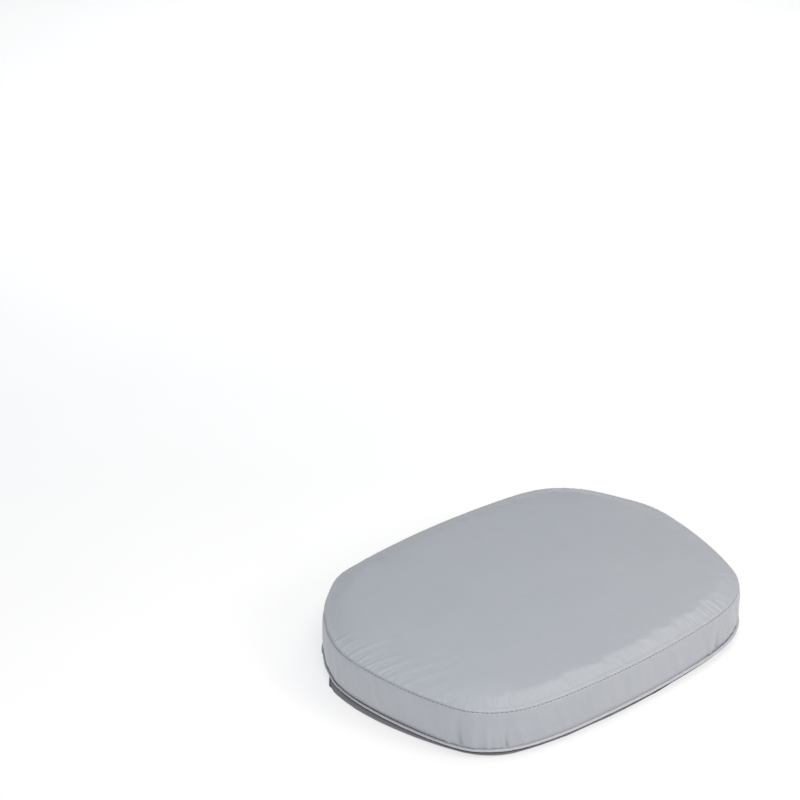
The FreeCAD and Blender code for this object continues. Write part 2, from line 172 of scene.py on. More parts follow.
def crease_list(rng, spots, n_random, amp, length, width, corner_gain):
    """Creases that run in from a seam: (place, half width, length, height, slant, wave number)."""
    out = [tuple(x) for x in spots]
    p = 0.25 + corner_gain * np.clip(_k * 100 - 0.35, 0, 1.4)
    p /= p.sum()
    for _ in range(n_random):
        s = _s[rng.choice(len(_s), p=p)] + rng.uniform(-1, 1)
        out.append((s, rng.uniform(*width), rng.uniform(*length), amp * rng.uniform(0.3, 1.0) * rng.choice([1, 1, -1]),
                    rng.normal(0, 0.22), rng.uniform(1.6, 2.6)))
    return out


def crease_field(creases, s, d, start=2.5):
    """Height of all creases at arc length s and distance d from their seam."""
    h = np.zeros(np.broadcast(s, d).shape)
    d = np.maximum(d, 0)
    for c, w, ln, a, slant, k in creases:
        far = d < 2.6 * ln
        ds = sdiff(s, c) - slant * d - 0.10 * ln * np.sin(d / (0.55 * ln))
        ww = w * (0.75 + 0.9 * d / ln)
        u = ds / ww
        near = far & (np.abs(u) < 3.2)
        if not near.any():
            continue
        env = smooth(d, 0.0, start) * np.exp(-(d / ln) ** 2)
        h += np.where(near, a * np.exp(-u * u) * np.cos(k * u) * env, 0)
    return h


TOP_SPOTS = [
    (958, 2.8, 30, 0.60, -0.55, 2.0), (944, 4.6, 52, 0.52, -0.62, 2.1), (930, 6.0, 62, 0.44, -0.78, 1.9),
    (912, 6.4, 48, 0.36, -0.85, 2.0), (970, 3.2, 24, 0.50, -0.30, 2.1), (983, 4.4, 44, 0.55, -0.28, 2.2),
    (997, 3.0, 20, 0.46, 0.05, 2.0), (1011, 4.2, 26, 0.36, 0.10, 2.0), (893, 5.4, 36, 0.30, -0.95, 2.0),
    (874, 5.0, 30, 0.24, -0.95, 2.1), (1030, 5.0, 34, 0.22, 0.2, 2.0), (951, 2.2, 14, 0.40, -0.2, 2.2),
    (937, 2.4, 12, 0.34, -0.5, 2.0), (921, 2.6, 11, 0.30, -0.3, 2.1),
    (733, 3.0, 13, 0.34, 0.10, 2.0), (742, 2.6, 17, 0.44, 0.35, 2.3), (751, 2.8, 20, 0.50, 0.30, 2.1),
    (760, 2.6, 18, 0.44, 0.20, 2.2), (770, 3.2, 14, 0.36, -0.1, 2.0), (786, 3.4, 12, 0.30, 0.0, 2.0),
    (498, 3.2, 15, 0.36, -0.2, 2.0), (508, 2.8, 22, 0.52, -0.15, 2.2), (518, 2.6, 24, 0.58, -0.30, 2.0),
    (528, 2.8, 20, 0.50, -0.10, 2.3), (538, 3.2, 14, 0.36, 0.1, 2.0), (481, 3.0, 12, 0.34, 0.1, 2.0),
    (655, 3.0, 11, 0.22, 0.1, 2.0), (618, 2.8, 12, 0.20, -0.1, 2.0), (690, 3.2, 12, 0.24, 0.2, 2.0),
]
TOP_CREASES = crease_list(RNG, TOP_SPOTS, 130, 0.26, (6, 18), (1.8, 4.2), 1.3)
BASE_SPOTS = [
    (797, 2.3, 21, -2.3, 0.0, 1.2), (806, 3.2, 14, 0.60, 0.10, 1.8), (815, 3.0, 22, 1.6, -0.05, 1.5),
    (828, 5.0, 28, 1.5, 0.06, 1.4), (841, 2.5, 24, -2.6, 0.03, 1.2), (854, 4.0, 24, 2.0, -0.1, 1.4),
    (866, 3.4, 12, 0.50, -0.1, 1.8), (778, 4.2, 13, 0.45, 0.1, 1.7),
    (482, 3.0, 16, 0.60, 0.05, 2.0), (493, 3.4, 20, 0.70, 0.0, 1.8), (504, 3.6, 22, 0.80, -0.08, 1.7),
    (518, 2.7, 24, -2.0, 0.0, 1.2), (530, 4.6, 22, 1.3, 0.0, 1.4), (468, 3.0, 14, 0.55, 0.0, 2.0),
    (455, 7.5, 24, 0.85, 0.0, 1.5), (436, 8.0, 20, 0.55, 0.1, 1.6), (415, 7.0, 18, 0.5, -0.1, 1.7),
    (985, 4.5, 12, 0.42, 0.1, 2.0), (1002, 4.0, 14, 0.45, -0.1, 2.0), (960, 4.4, 12, 0.34, 0.0, 2.0),
]
BASE_CREASES = crease_list(RNG, BASE_SPOTS, 96, 0.28, (5, 14), (2.4, 6.0), 1.0)
SIDE_CREASES = crease_list(RNG, [(515, 2.6, 12, 0.4, 0.1, 2.0), (527, 2.4, 14, 0.45, 0.2, 2.1), (538, 2.8, 12, 0.35, 0.1, 2.0),
                                 (978, 3.0, 10, 0.3, 0.1, 2.0), (820, 3.0, 10, 0.3, 0.0, 2.0)],
                           120, 0.22, (4, 10), (1.6, 3.6), 1.1)
STITCH = 4.7
N_STITCH = int(round(LEN / STITCH))
PITCH = LEN / N_STITCH

# ------------------------------------------------------------------ shape of the cushion
CROWN_W, CROWN_H, ROLL_H = 130.0, 1.9, 7.2
_dd = np.linspace(0, 120, 1201)


def roll_table(width, soft, lip):
    """Height of a roll that climbs steadily to its shoulder and then turns flat, as a share of its full height."""
    k = (1 + lip * np.exp(-_dd / 3.2)) * (1 - smooth(_dd, width - soft, width + soft))
    z = np.r_[0, np.cumsum((k[1:] + k[:-1]) / 2 * np.diff(_dd))]
    return z / z[-1]


FIRM, SLACK = roll_table(19.5, 3.6, 1.1), roll_table(26.0, 26.0, 1.6)
ROLL_KEYS = [(560, 7.2), (500, 6.9), (440, 6.6), (400, 6.3), (350, 5.9), (300, 5.3), (250, 6.4), (200, 8.4), (150, 7.5), (90, 7.0), (30, 6.1),
             (1245, 6.3), (1185, 6.5), (1125, 6.7), (1090, 6.9), (1020, 7.4), (900, 7.2), (640, 7.2)]
SLACK_KEYS = [(300, 0.35), (450, 0.15), (540, 0.0), (735, 0.0), (800, 0.45), (850, 0.9), (960, 1.0), (1050, 0.8), (1150, 0.4), (100, 0.3)]


def dome(s, d):
    """Height of the top panel over its seam at arc length s and distance d in from the seam."""
    d = np.maximum(d, 0)
    q = around(s, SLACK_KEYS)
    w = 1 + 0.085 * wave_noise(np.random.default_rng(41), s, 9, 14, 75) * smooth(d, 6, 16)
    r = np.interp(d * w, _dd, FIRM) * (1 - q) + np.interp(d, _dd, SLACK) * q
    even = smooth(d, 12, 115)
    h = around(s, ROLL_KEYS) * (1 - even) + ROLL_H * even
    c = np.clip(d / CROWN_W, 0, 1)
    return h * r + CROWN_H * (1 - (1 - c) ** 2.0)


TUCK = [(300, 17.8), (462, 18.0), (500, 18.4), (549, 18.5), (620, 17.4), (690, 16.6), (757, 16.4), (822, 16.6),
        (865, 18.6), (909, 20.6), (950, 21.6), (993, 21.6), (1040, 20.2), (1150, 17.8), (0, 17.0), (150, 17.4)]
TUCK_DEEP = [(300, 0.5), (500, 0.6), (600, 0.45), (757, 0.45), (822, 0.55), (865, 1.0), (909, 1.3), (990, 1.2), (1050, 0.9), (1150, 0.6), (0, 0.6)]
LOW_Z = [(300, 0.0), (560, 0.1), (640, 0.0), (760, -0.9), (822, -1.6), (870, -1.5), (900, -1.0), (960, -1.4), (1010, -1.4), (1050, -1.0), (1110, -0.2), (0, 0.0)]


def side_offset(s, z):
    """How far the side strip stands out of the seam outline at height z."""
    t = np.clip((z - 12.0) / (SEAM_Z - 12.0), 0, 1)
    away = smooth(np.abs(sdiff(s, 0)), ZIP_S - 6, ZIP_S + 24)
    bulge = (0.25 + 0.95 * away) * np.clip(4 * t * (1 - t), 0, 1) ** 0.75
    lip = np.clip((z - (SEAM_Z - 1.45)) / 0.9, 0, 1)
    tuck = 1 - smooth(z, 12.6, around(s, TUCK))
    return bulge + 0.12 - 1.55 * (1 - np.sqrt(1 - lip ** 2 * 0.998)) - around(s, TUCK_DEEP) * tuck ** 1.25


def side_relief(s, z):
    up = crease_field(BASE_CREASES, s, z - 14.2, 1.5)
    down = crease_field(SIDE_CREASES, s, SEAM_Z - 1.0 - z, 1.5)
    flat = smooth(np.abs(sdiff(s, 0)), ZIP_S - 10, ZIP_S + 12)
    return (up + down) * (0.12 + 0.88 * flat)


# ------------------------------------------------------------------ mesh helpers
def face_outward(me, facing):
    """Winds every face the same way: outward on a closed piece, else towards the side the cloth shows."""
    bm = bmesh.new()
    bm.from_mesh(me)
    bmesh.ops.recalc_face_normals(bm, faces=bm.faces)
    if facing:
        total = 0.0
        for f in bm.faces:
            c = f.calc_center_median()
            ref = {"up": (0, 0, 1), "down": (0, 0, -1)}.get(facing) or (c.x, c.y + 0.008, 0)
            total += f.calc_area() * sum(a * b for a, b in zip(f.normal, ref))
        if total < 0:
            bmesh.ops.reverse_faces(bm, faces=bm.faces)
    bm.to_mesh(me)
    bm.free()


def make(name, verts, faces, mat, smooth_shade=True, uv=None, body="cushion", repl=(), thick=None, cap=True,
         facing=None, grow=False):
    me = bpy.data.meshes.new(name)
    v = np.asarray(verts, float) * MM
    me.from_pydata(v.tolist(), [], [list(map(int, f)) for f in faces])
    me.validate()
    face_outward(me, facing)
    if uv is not None:
        lay = me.uv_layers.new(name="UVMap")
        idx = np.zeros(len(me.loops), np.int32)
        me.loops.foreach_get("vertex_index", idx)
        lay.data.foreach_set("uv", (np.asarray(uv, float) * MM)[idx].astype(np.float32).ravel())
    me.materials.append(mat)
    if smooth_shade:
        me.polygons.foreach_set("use_smooth", [True] * len(me.polygons))
    me.update()
    o = bpy.data.objects.new(name, me)
    bpy.context.scene.collection.objects.link(o)
    if thick:
        m = o.modifiers.new("cloth_thickness", "SOLIDIFY")
        m.thickness = thick * MM
        m.offset = 1.0 if grow else -1.0
        m.use_rim = cap
        m.use_even_offset = False
    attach(o, body)
    if repl:
        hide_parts(*repl)
    return o


def grid_faces(n, m, close_n=False, close_m=False, flip=False, base=0):
    """Quads of an n by m grid of points, index i * m + j."""
    i = np.arange(n if close_n else n - 1)
    j = np.arange(m if close_m else m - 1)
    a, b = np.meshgrid(i, j, indexing="ij")
    i1, j1 = (a + 1) % n, (b + 1) % m
    q = np.stack([a * m + b, i1 * m + b, i1 * m + j1, a * m + j1], -1).reshape(-1, 4)
    return (q[:, ::-1] if flip else q) + base


def fan(ring, centre, flip=False):
    n = len(ring)
    return [((ring[i], ring[(i + 1) % n], centre) if not flip else (ring[(i + 1) % n], ring[i], centre)) for i in range(n)]


def tube(path, up, ru, rn, sides=12, closed=False, power=2.0, cap=True, twist=None):
    """Tube along path with half sizes ru along up and rn across, as points and faces."""
    path, up = np.asarray(path, float), np.asarray(up, float)
    n = len(path)
    if closed:
        t = np.roll(path, -1, 0) - np.roll(path, 1, 0)
    else:
        t = np.gradient(path, axis=0)
    t /= np.linalg.norm(t, axis=1, keepdims=True)
    up = up - t * (up * t).sum(1, keepdims=True)
    up /= np.linalg.norm(up, axis=1, keepdims=True)
    side = np.cross(t, up)
    a = 2 * PI * np.arange(sides) / sides
    ca, sa = np.cos(a), np.sin(a)
    if power != 2.0:
        ca, sa = np.sign(ca) * np.abs(ca) ** (2 / power), np.sign(sa) * np.abs(sa) ** (2 / power)
    ru, rn = np.broadcast_to(ru, (n,)), np.broadcast_to(rn, (n,))
    extra = 1.0 if twist is None else twist(a)
    v = path[:, None] + up[:, None] * (ru[:, None] * sa * extra)[..., None] + side[:, None] * (rn[:, None] * ca * extra)[..., None]
    f = grid_faces(n, sides, close_n=closed, close_m=True).tolist()
    v = v.reshape(-1, 3)
    if cap and not closed:
        v = np.r_[v, path[:1], path[-1:]]
        k = n * sides
        f += [(i, (i + 1) % sides, k)[::-1] for i in range(sides)][::-1]
        f += [((n - 1) * sides + i, (n - 1) * sides + (i + 1) % sides, k + 1)[::1] for i in range(sides)]
        f = [list(x) for x in f]
    return v, f


def stitches(centres, along, out, length, radius, sink=0.35):
    """Short thread loops: a capsule per stitch whose two ends dive into the cloth."""
    rings, sides = 7, 7
    u = np.linspace(-1, 1, rings)
    rr = radius * np.sqrt(np.clip(1 - (np.abs(u) ** 6) * 0.75, 0.05, 1))
    x = u * length / 2
    y = -sink * np.abs(u) ** 3
    a = 2 * PI * np.arange(sides) / sides
    loc = np.zeros((rings, sides, 3))
    loc[..., 0] = x[:, None]
    loc[..., 1] = y[:, None] + rr[:, None] * np.cos(a)
    loc[..., 2] = rr[:, None] * np.sin(a)
    loc = loc.reshape(-1, 3)
    loc = np.r_[loc, [[x[0] - radius * 0.3, y[0], 0]], [[x[-1] + radius * 0.3, y[-1], 0]]]
    f0 = grid_faces(rings, sides, close_m=True, flip=True).tolist()
    k = rings * sides
    f0 += [(i, (i + 1) % sides, k) for i in range(sides)]
    f0 += [((rings - 1) * sides + (i + 1) % sides, (rings - 1) * sides + i, k + 1) for i in range(sides)]
    centres, along, out = (np.asarray(q, float) for q in (centres, along, out))
    along = along / np.linalg.norm(along, axis=1, keepdims=True)
    out = out - along * (out * along).sum(1, keepdims=True)
    out /= np.linalg.norm(out, axis=1, keepdims=True)
    third = np.cross(along, out)
    v = (centres[:, None] + along[:, None] * loc[None, :, :1] + out[:, None] * loc[None, :, 1:2]
         + third[:, None] * loc[None, :, 2:3])
    m = len(loc)
    faces = []
    for i in range(len(centres)):
        faces += [[q + i * m for q in f] for f in f0]
    return v.reshape(-1, 3), faces


def join(parts):
    vs, fs, k = [], [], 0
    for v, f in parts:
        vs.append(np.asarray(v, float))
        fs += [[int(i) + k for i in q] for q in f]
        k += len(v)
    return np.concatenate(vs), fs


# ------------------------------------------------------------------ materials
class Mat:
    def __init__(self, name):
        self.m = bpy.data.materials.new(name)
        self.m.use_nodes = True
        self.t = self.m.node_tree
        self.t.nodes.clear()
        self.out = self.t.nodes.new("ShaderNodeOutputMaterial")
        self.b = self.t.nodes.new("ShaderNodeBsdfPrincipled")
        self.t.links.new(self.b.outputs[0], self.out.inputs[0])
        self.co = self.t.nodes.new("ShaderNodeTexCoord")

    def n(self, kind, **kw):
        x = self.t.nodes.new("ShaderNode" + kind)
        for k, v in kw.items():
            if hasattr(x, k):
                setattr(x, k, v)
            else:
                x.inputs[k].default_value = v
        return x

    def link(self, a, b):
        self.t.links.new(a, b)
        return a

    def set(self, **kw):
        for k, v in kw.items():
            self.b.inputs[k.replace("_", " ")].default_value = v

    def mapping(self, src="Object", scale=(1, 1, 1), rot=(0, 0, 0)):
        m = self.n("Mapping")
        m.inputs["Scale"].default_value = scale
        m.inputs["Rotation"].default_value = rot
        self.link(self.co.outputs[src], m.inputs["Vector"])
        return m.outputs[0]

    def noise(self, vec, scale, detail=3.0, rough=0.55, distortion=0.0):
        x = self.n("TexNoise", Scale=scale, Detail=detail, Roughness=rough, Distortion=distortion)
        self.link(vec, x.inputs["Vector"])
        return x.outputs[0]

    def ramp(self, fac, stops):
        r = self.n("ValToRGB")
        e = r.color_ramp.elements
        while len(e) < len(stops):
            e.new(0.5)
        for q, (p, c) in zip(e, stops):
            q.position = p
            q.color = (*c, 1) if len(c) == 3 else c
        self.link(fac, r.inputs[0])
        return r.outputs[0]

    def math(self, op, a, b=None, c=None, clamp=False):
        x = self.n("Math", operation=op)
        x.use_clamp = clamp
        for i, q in enumerate((a, b, c)):
            if q is None:
                continue
            if isinstance(q, (int, float)):
                x.inputs[i].default_value = q
            else:
                self.link(q, x.inputs[i])
        return x.outputs[0]

    def mix(self, fac, a, b, blend="MIX"):
        x = self.n("Mix")
        x.data_type = "RGBA"
        x.blend_type = blend
        for i, q in ((0, fac), (6, a), (7, b)):
            if isinstance(q, (int, float)):
                x.inputs[i].default_value = q
            elif isinstance(q, tuple):
                x.inputs[i].default_value = (*q, 1)
            else:
                self.link(q, x.inputs[i])
        return x.outputs[2]

    def bump(self, height, strength, distance, after=None):
        x = self.n("Bump", Strength=strength, Distance=distance)
        self.link(height, x.inputs["Height"])
        if after is not None:
            self.link(after, x.inputs["Normal"])
        return x.outputs[0]

    def sep(self, vec):
        x = self.n("SeparateXYZ")
        self.link(vec, x.inputs[0])
        return x.outputs


def weave_height(mt, src, pitch, rot=0.0, twill=False, planes="XY"):
    """Plain or twill weave: height from two crossing sets of threads, as a 0 to 1 value."""
    vec = mt.mapping(src, rot=(0, 0, rot))
    o = mt.sep(vec)
    a, b = {"XY": (o[0], o[1]), "XZ": (o[0], o[2])}[planes]
    w = PI / (pitch * MM)
    ax = mt.math("MULTIPLY", a, w)
    by = mt.math("MULTIPLY", b, w)
    if twill:
        by2 = mt.math("ADD", by, mt.math("MULTIPLY", ax, 0.5))
    else:
        by2 = by
    sx = mt.math("ABSOLUTE", mt.math("SINE", ax))
    sy = mt.math("ABSOLUTE", mt.math("SINE", by))
    flip = mt.math("SINE", mt.math("ADD", mt.math("MULTIPLY", ax, 1.0), mt.math("MULTIPLY", by2, 1.0)))
    sel = mt.math("GREATER_THAN", mt.math("MULTIPLY", mt.math("SINE", ax), mt.math("SINE", by2)), 0.0)
    warp = mt.math("MULTIPLY", sx, sel)
    weft = mt.math("MULTIPLY", sy, mt.math("SUBTRACT", 1.0, sel))
    h = mt.math("ADD", warp, weft)
    return mt.math("ADD", h, mt.math("MULTIPLY", flip, 0.1))


def satin(name, base, rough=0.42, src="Object", planes="XY", wear=0.0, pitch=0.42, shift=0.0):
    """Close-woven satin-finish polyester: fine weave, slubs along both thread directions, soft mottling."""
    mt = Mat(name)
    vec = mt.mapping(src)
    big = mt.noise(vec, 9.0, 3.0, 0.5)
    mid = mt.noise(vec, 55.0, 4.0, 0.6)
    slub_a = mt.noise(mt.mapping(src, scale=(18, 520, 520)), 1.0, 2.0, 0.5)
    slub_b = mt.noise(mt.mapping(src, scale=(520, 18, 18)), 1.0, 2.0, 0.5)
    r, g, b = base
    c1 = mt.ramp(big, [(0.30, (r * 0.955, g * 0.962, b * 0.972)), (0.70, (r * 1.035, g * 1.03, b * 1.02))])
    c2 = mt.mix(0.30, c1, mt.ramp(mid, [(0.3, (r * 0.95, g * 0.95, b * 0.96)), (0.7, (r * 1.05, g * 1.05, b * 1.04))]))
    sl = mt.math("ADD", mt.math("MULTIPLY", slub_a, 0.5), mt.math("MULTIPLY", slub_b, 0.5))
    c3 = mt.mix(0.22, c2, mt.ramp(sl, [(0.36, (r * 0.90, g * 0.905, b * 0.915)), (0.64, (r * 1.10, g * 1.095, b * 1.085))]))
    h = weave_height(mt, src, pitch, planes=planes)
    # slightly darker in the weave's hollows between threads: painted shade
    c4 = mt.mix(mt.math("MULTIPLY", mt.math("SUBTRACT", 1.0, h, clamp=True), 0.16), c3, (r * 0.72, g * 0.73, b * 0.75))
    mt.link(c4, mt.b.inputs["Base Color"])
    mt.link(mt.math("ADD", mt.math("MULTIPLY", mt.math("SUBTRACT", mid, 0.5), 0.10), rough), mt.b.inputs["Roughness"])
    n1 = mt.bump(h, 0.22, 0.00009)
    n2 = mt.bump(sl, 0.18, 0.0003, n1)
    n3 = mt.bump(mid, 0.12, 0.0012, n2)
    mt.link(n3, mt.b.inputs["Normal"])
    mt.set(Sheen_Weight=0.22, Sheen_Roughness=0.45, Specular_IOR_Level=0.55, Anisotropic=0.15)
    mt.b.inputs["Sheen Tint"].default_value = (0.95, 0.97, 1.0, 1)
    return mt.m


def coarse(name, base, pitch=0.9, rough=0.82, src="Object", planes="XY", sheen=0.25, amp=0.0003):
    """Heavier plain weave for the pocket and the bindings."""
    mt = Mat(name)
    vec = mt.mapping(src)
    big = mt.noise(vec, 14.0, 3.0, 0.5)
    fuzz = mt.noise(vec, 900.0, 3.0, 0.7)
    h = weave_height(mt, src, pitch, planes=planes)
    r, g, b = base
    c1 = mt.ramp(big, [(0.3, (r * 0.86, g * 0.86, b * 0.87)), (0.7, (r * 1.16, g * 1.16, b * 1.15))])
    # much darker in the weave's hollows between threads: painted shade
    c2 = mt.mix(mt.math("MULTIPLY", mt.math("SUBTRACT", 1.0, h, clamp=True), 0.55), c1, (r * 0.35, g * 0.35, b * 0.36))
    c3 = mt.mix(0.35, c2, mt.ramp(fuzz, [(0.35, (r * 0.7, g * 0.7, b * 0.7)), (0.7, (r * 1.45, g * 1.45, b * 1.45))]))
    mt.link(c3, mt.b.inputs["Base Color"])
    mt.link(mt.math("ADD", mt.math("MULTIPLY", fuzz, 0.12), rough - 0.06), mt.b.inputs["Roughness"])
    mt.link(mt.bump(fuzz, 0.25, 0.0002, mt.bump(h, 0.7, amp)), mt.b.inputs["Normal"])
    mt.set(Sheen_Weight=sheen, Sheen_Roughness=0.5, Specular_IOR_Level=0.3)
    return mt.m


def thread_mat(name, base):
    mt = Mat(name)
    vec = mt.mapping("Object", rot=(0.6, 0.5, 0.7))
    ply = mt.noise(mt.mapping("Object", scale=(2600, 2600, 900)), 1.0, 2.0, 0.5)
    mott = mt.noise(vec, 120.0, 2.0, 0.5)
    r, g, b = base
    c = mt.mix(0.5, mt.ramp(ply, [(0.35, (r * 0.6, g * 0.6, b * 0.6)), (0.65, (r * 1.3, g * 1.3, b * 1.3))]),
               mt.ramp(mott, [(0.3, (r * 0.85, g * 0.85, b * 0.85)), (0.7, (r * 1.15, g * 1.15, b * 1.15))]))
    mt.link(c, mt.b.inputs["Base Color"])
    mt.link(mt.math("ADD", mt.math("MULTIPLY", ply, 0.2), 0.45), mt.b.inputs["Roughness"])
    mt.link(mt.bump(ply, 0.5, 0.0001), mt.b.inputs["Normal"])
    mt.set(Sheen_Weight=0.3, Sheen_Roughness=0.4)
    return mt.m


def foam_mat():
    mt = Mat("foam_open_cell")
    vec = mt.mapping("Object")
    cells = mt.n("TexVoronoi", Scale=900.0)
    mt.link(vec, cells.inputs["Vector"])
    big = mt.noise(vec, 30.0, 4.0, 0.6)
    c = mt.mix(mt.math("MULTIPLY", cells.outputs["Distance"], 0.9, clamp=True), (0.86, 0.82, 0.66), (0.55, 0.50, 0.34))
    mt.link(mt.mix(0.3, c, mt.ramp(big, [(0.3, (0.78, 0.74, 0.58)), (0.7, (0.92, 0.89, 0.76))])), mt.b.inputs["Base Color"])
    mt.link(mt.math("ADD", mt.math("MULTIPLY", big, 0.1), 0.88), mt.b.inputs["Roughness"])
    mt.link(mt.bump(cells.outputs["Distance"], 0.8, 0.0006), mt.b.inputs["Normal"])
    mt.set(Specular_IOR_Level=0.2)
    return mt.m


def wadding_mat():
    mt = Mat("wadding_fibre")
    f1 = mt.noise(mt.mapping("Object", scale=(60, 900, 400)), 1.0, 4.0, 0.7, 0.6)
    f2 = mt.noise(mt.mapping("Object", scale=(700, 70, 300), rot=(0, 0, 0.6)), 1.0, 4.0, 0.7, 0.6)
    s = mt.math("ADD", mt.math("MULTIPLY", f1, 0.5), mt.math("MULTIPLY", f2, 0.5))
    mt.link(mt.ramp(s, [(0.35, (0.72, 0.72, 0.71)), (0.65, (0.93, 0.93, 0.92))]), mt.b.inputs["Base Color"])
    mt.link(mt.math("ADD", mt.math("MULTIPLY", s, 0.1), 0.85), mt.b.inputs["Roughness"])
    mt.link(mt.bump(s, 0.6, 0.0012), mt.b.inputs["Normal"])
    mt.set(Sheen_Weight=0.5, Sheen_Roughness=0.6)
    return mt.m


def metal_mat():
    """Enamelled zinc with bright wear on its raised edges."""
    mt = Mat("zip_enamelled_zinc")
    vec = mt.mapping("Object")
    geo = mt.n("NewGeometry")
    edge = mt.ramp(geo.outputs["Pointiness"], [(0.50, (0, 0, 0)), (0.60, (1, 1, 1))])
    grain = mt.noise(vec, 1800.0, 4.0, 0.65)
    blot = mt.noise(vec, 260.0, 3.0, 0.6)
    worn = mt.math("MULTIPLY", mt.ramp(edge, [(0.2, (0, 0, 0)), (0.9, (1, 1, 1))]), blot, clamp=True)
    paint = mt.ramp(blot, [(0.3, (0.17, 0.18, 0.195)), (0.7, (0.235, 0.245, 0.26))])
    mt.link(mt.mix(worn, paint, (0.62, 0.61, 0.59)), mt.b.inputs["Base Color"])
    mt.link(mt.math("ADD", mt.math("MULTIPLY", worn, 0.85), 0.25, clamp=True), mt.b.inputs["Metallic"])
    mt.link(mt.math("ADD", mt.math("MULTIPLY", grain, 0.22), 0.24), mt.b.inputs["Roughness"])
    mt.link(mt.bump(grain, 0.15, 0.00006), mt.b.inputs["Normal"])
    mt.set(Coat_Weight=0.25, Coat_Roughness=0.2)
    return mt.m


def nylon_mat():
    mt = Mat("zip_nylon")
    vec = mt.mapping("Object")
    n = mt.noise(vec, 700.0, 3.0, 0.5)
    mt.link(mt.ramp(n, [(0.3, (0.20, 0.225, 0.25)), (0.7, (0.27, 0.295, 0.32))]), mt.b.inputs["Base Color"])
    mt.link(mt.math("ADD", mt.math("MULTIPLY", n, 0.15), 0.26), mt.b.inputs["Roughness"])
    mt.link(mt.bump(n, 0.1, 0.00005), mt.b.inputs["Normal"])
    mt.set(Subsurface_Weight=0.0, Specular_IOR_Level=0.5)
    return mt.m


COVER = (0.383, 0.403, 0.432)
M_TOP = satin("cover_satin_top", COVER, 0.43)
# the side strip and zip plackets use a copy of the cover satin 3% darker than the top: painted shade on the upright
# sides
M_SIDE_SHADED = satin("cover_satin_side_painted_shade", [0.97 * q for q in COVER], 0.43, src="UV")
M_WELT = satin("welt_satin", (0.45, 0.465, 0.485), 0.45, src="UV")
M_POCKET = coarse("pocket_canvas", (0.105, 0.108, 0.118), 0.85)
M_POCKET_UV = coarse("pocket_canvas_side", (0.190, 0.192, 0.205), 0.85, src="UV")
# near-black rib: the pocket's real dark bound edge, made darker still to paint the shade of the gap under the welt
M_HEM = coarse("pocket_binding_rib", (0.100, 0.103, 0.112), 0.65, src="UV", sheen=0.35)
M_EDGE_AND_PAINTED_SHADE = coarse("pocket_edge_rib_and_painted_shade", (0.040, 0.041, 0.046), 0.6, src="UV", sheen=0.2)
M_TAPE = coarse("zip_tape_weave", (0.215, 0.24, 0.265), 0.55, src="UV", amp=0.00015)
M_THREAD = thread_mat("thread_grey", (0.045, 0.048, 0.055))
M_THREAD_D = thread_mat("thread_dark", (0.05, 0.05, 0.055))
M_FOAM, M_WAD, M_METAL, M_NYLON = foam_mat(), wadding_mat(), metal_mat(), nylon_mat()
M_CORD = thread_mat("welt_filler", (0.72, 0.70, 0.64))

# ------------------------------------------------------------------ camera
cam_data = bpy.data.cameras.new("camera")
cam_data.sensor_width = 36.0
cam_data.lens = 117.603
cam_data.clip_end = 60.0
cam = bpy.data.objects.new("camera", cam_data)
bpy.context.scene.collection.objects.link(cam)
cam.matrix_world = Matrix(((0.766789319, 0.305978559, -0.564279419, -1.556412879),
                           (-0.641878151, 0.372559868, -0.670217565, -1.648939926),
                           (0.005155661, 0.8761143, 0.482075879, 1.521772278),
                           (0, 0, 0, 1)))
bpy.context.scene.camera = cam

# ------------------------------------------------------------------ top panel
NS = 1392


LIP_D = [0.0, 0.35, 0.8, 1.3, 1.9, 2.6, 3.4, 5.3]
LIP_Z = [-0.02, 0.06, 0.20, 0.50, 0.62, 0.55, 0.38, 0.0]
LIP_O = [-1.75, -0.75, 0.15, 0.85, 0.95, 0.75, 0.45, 0.0]


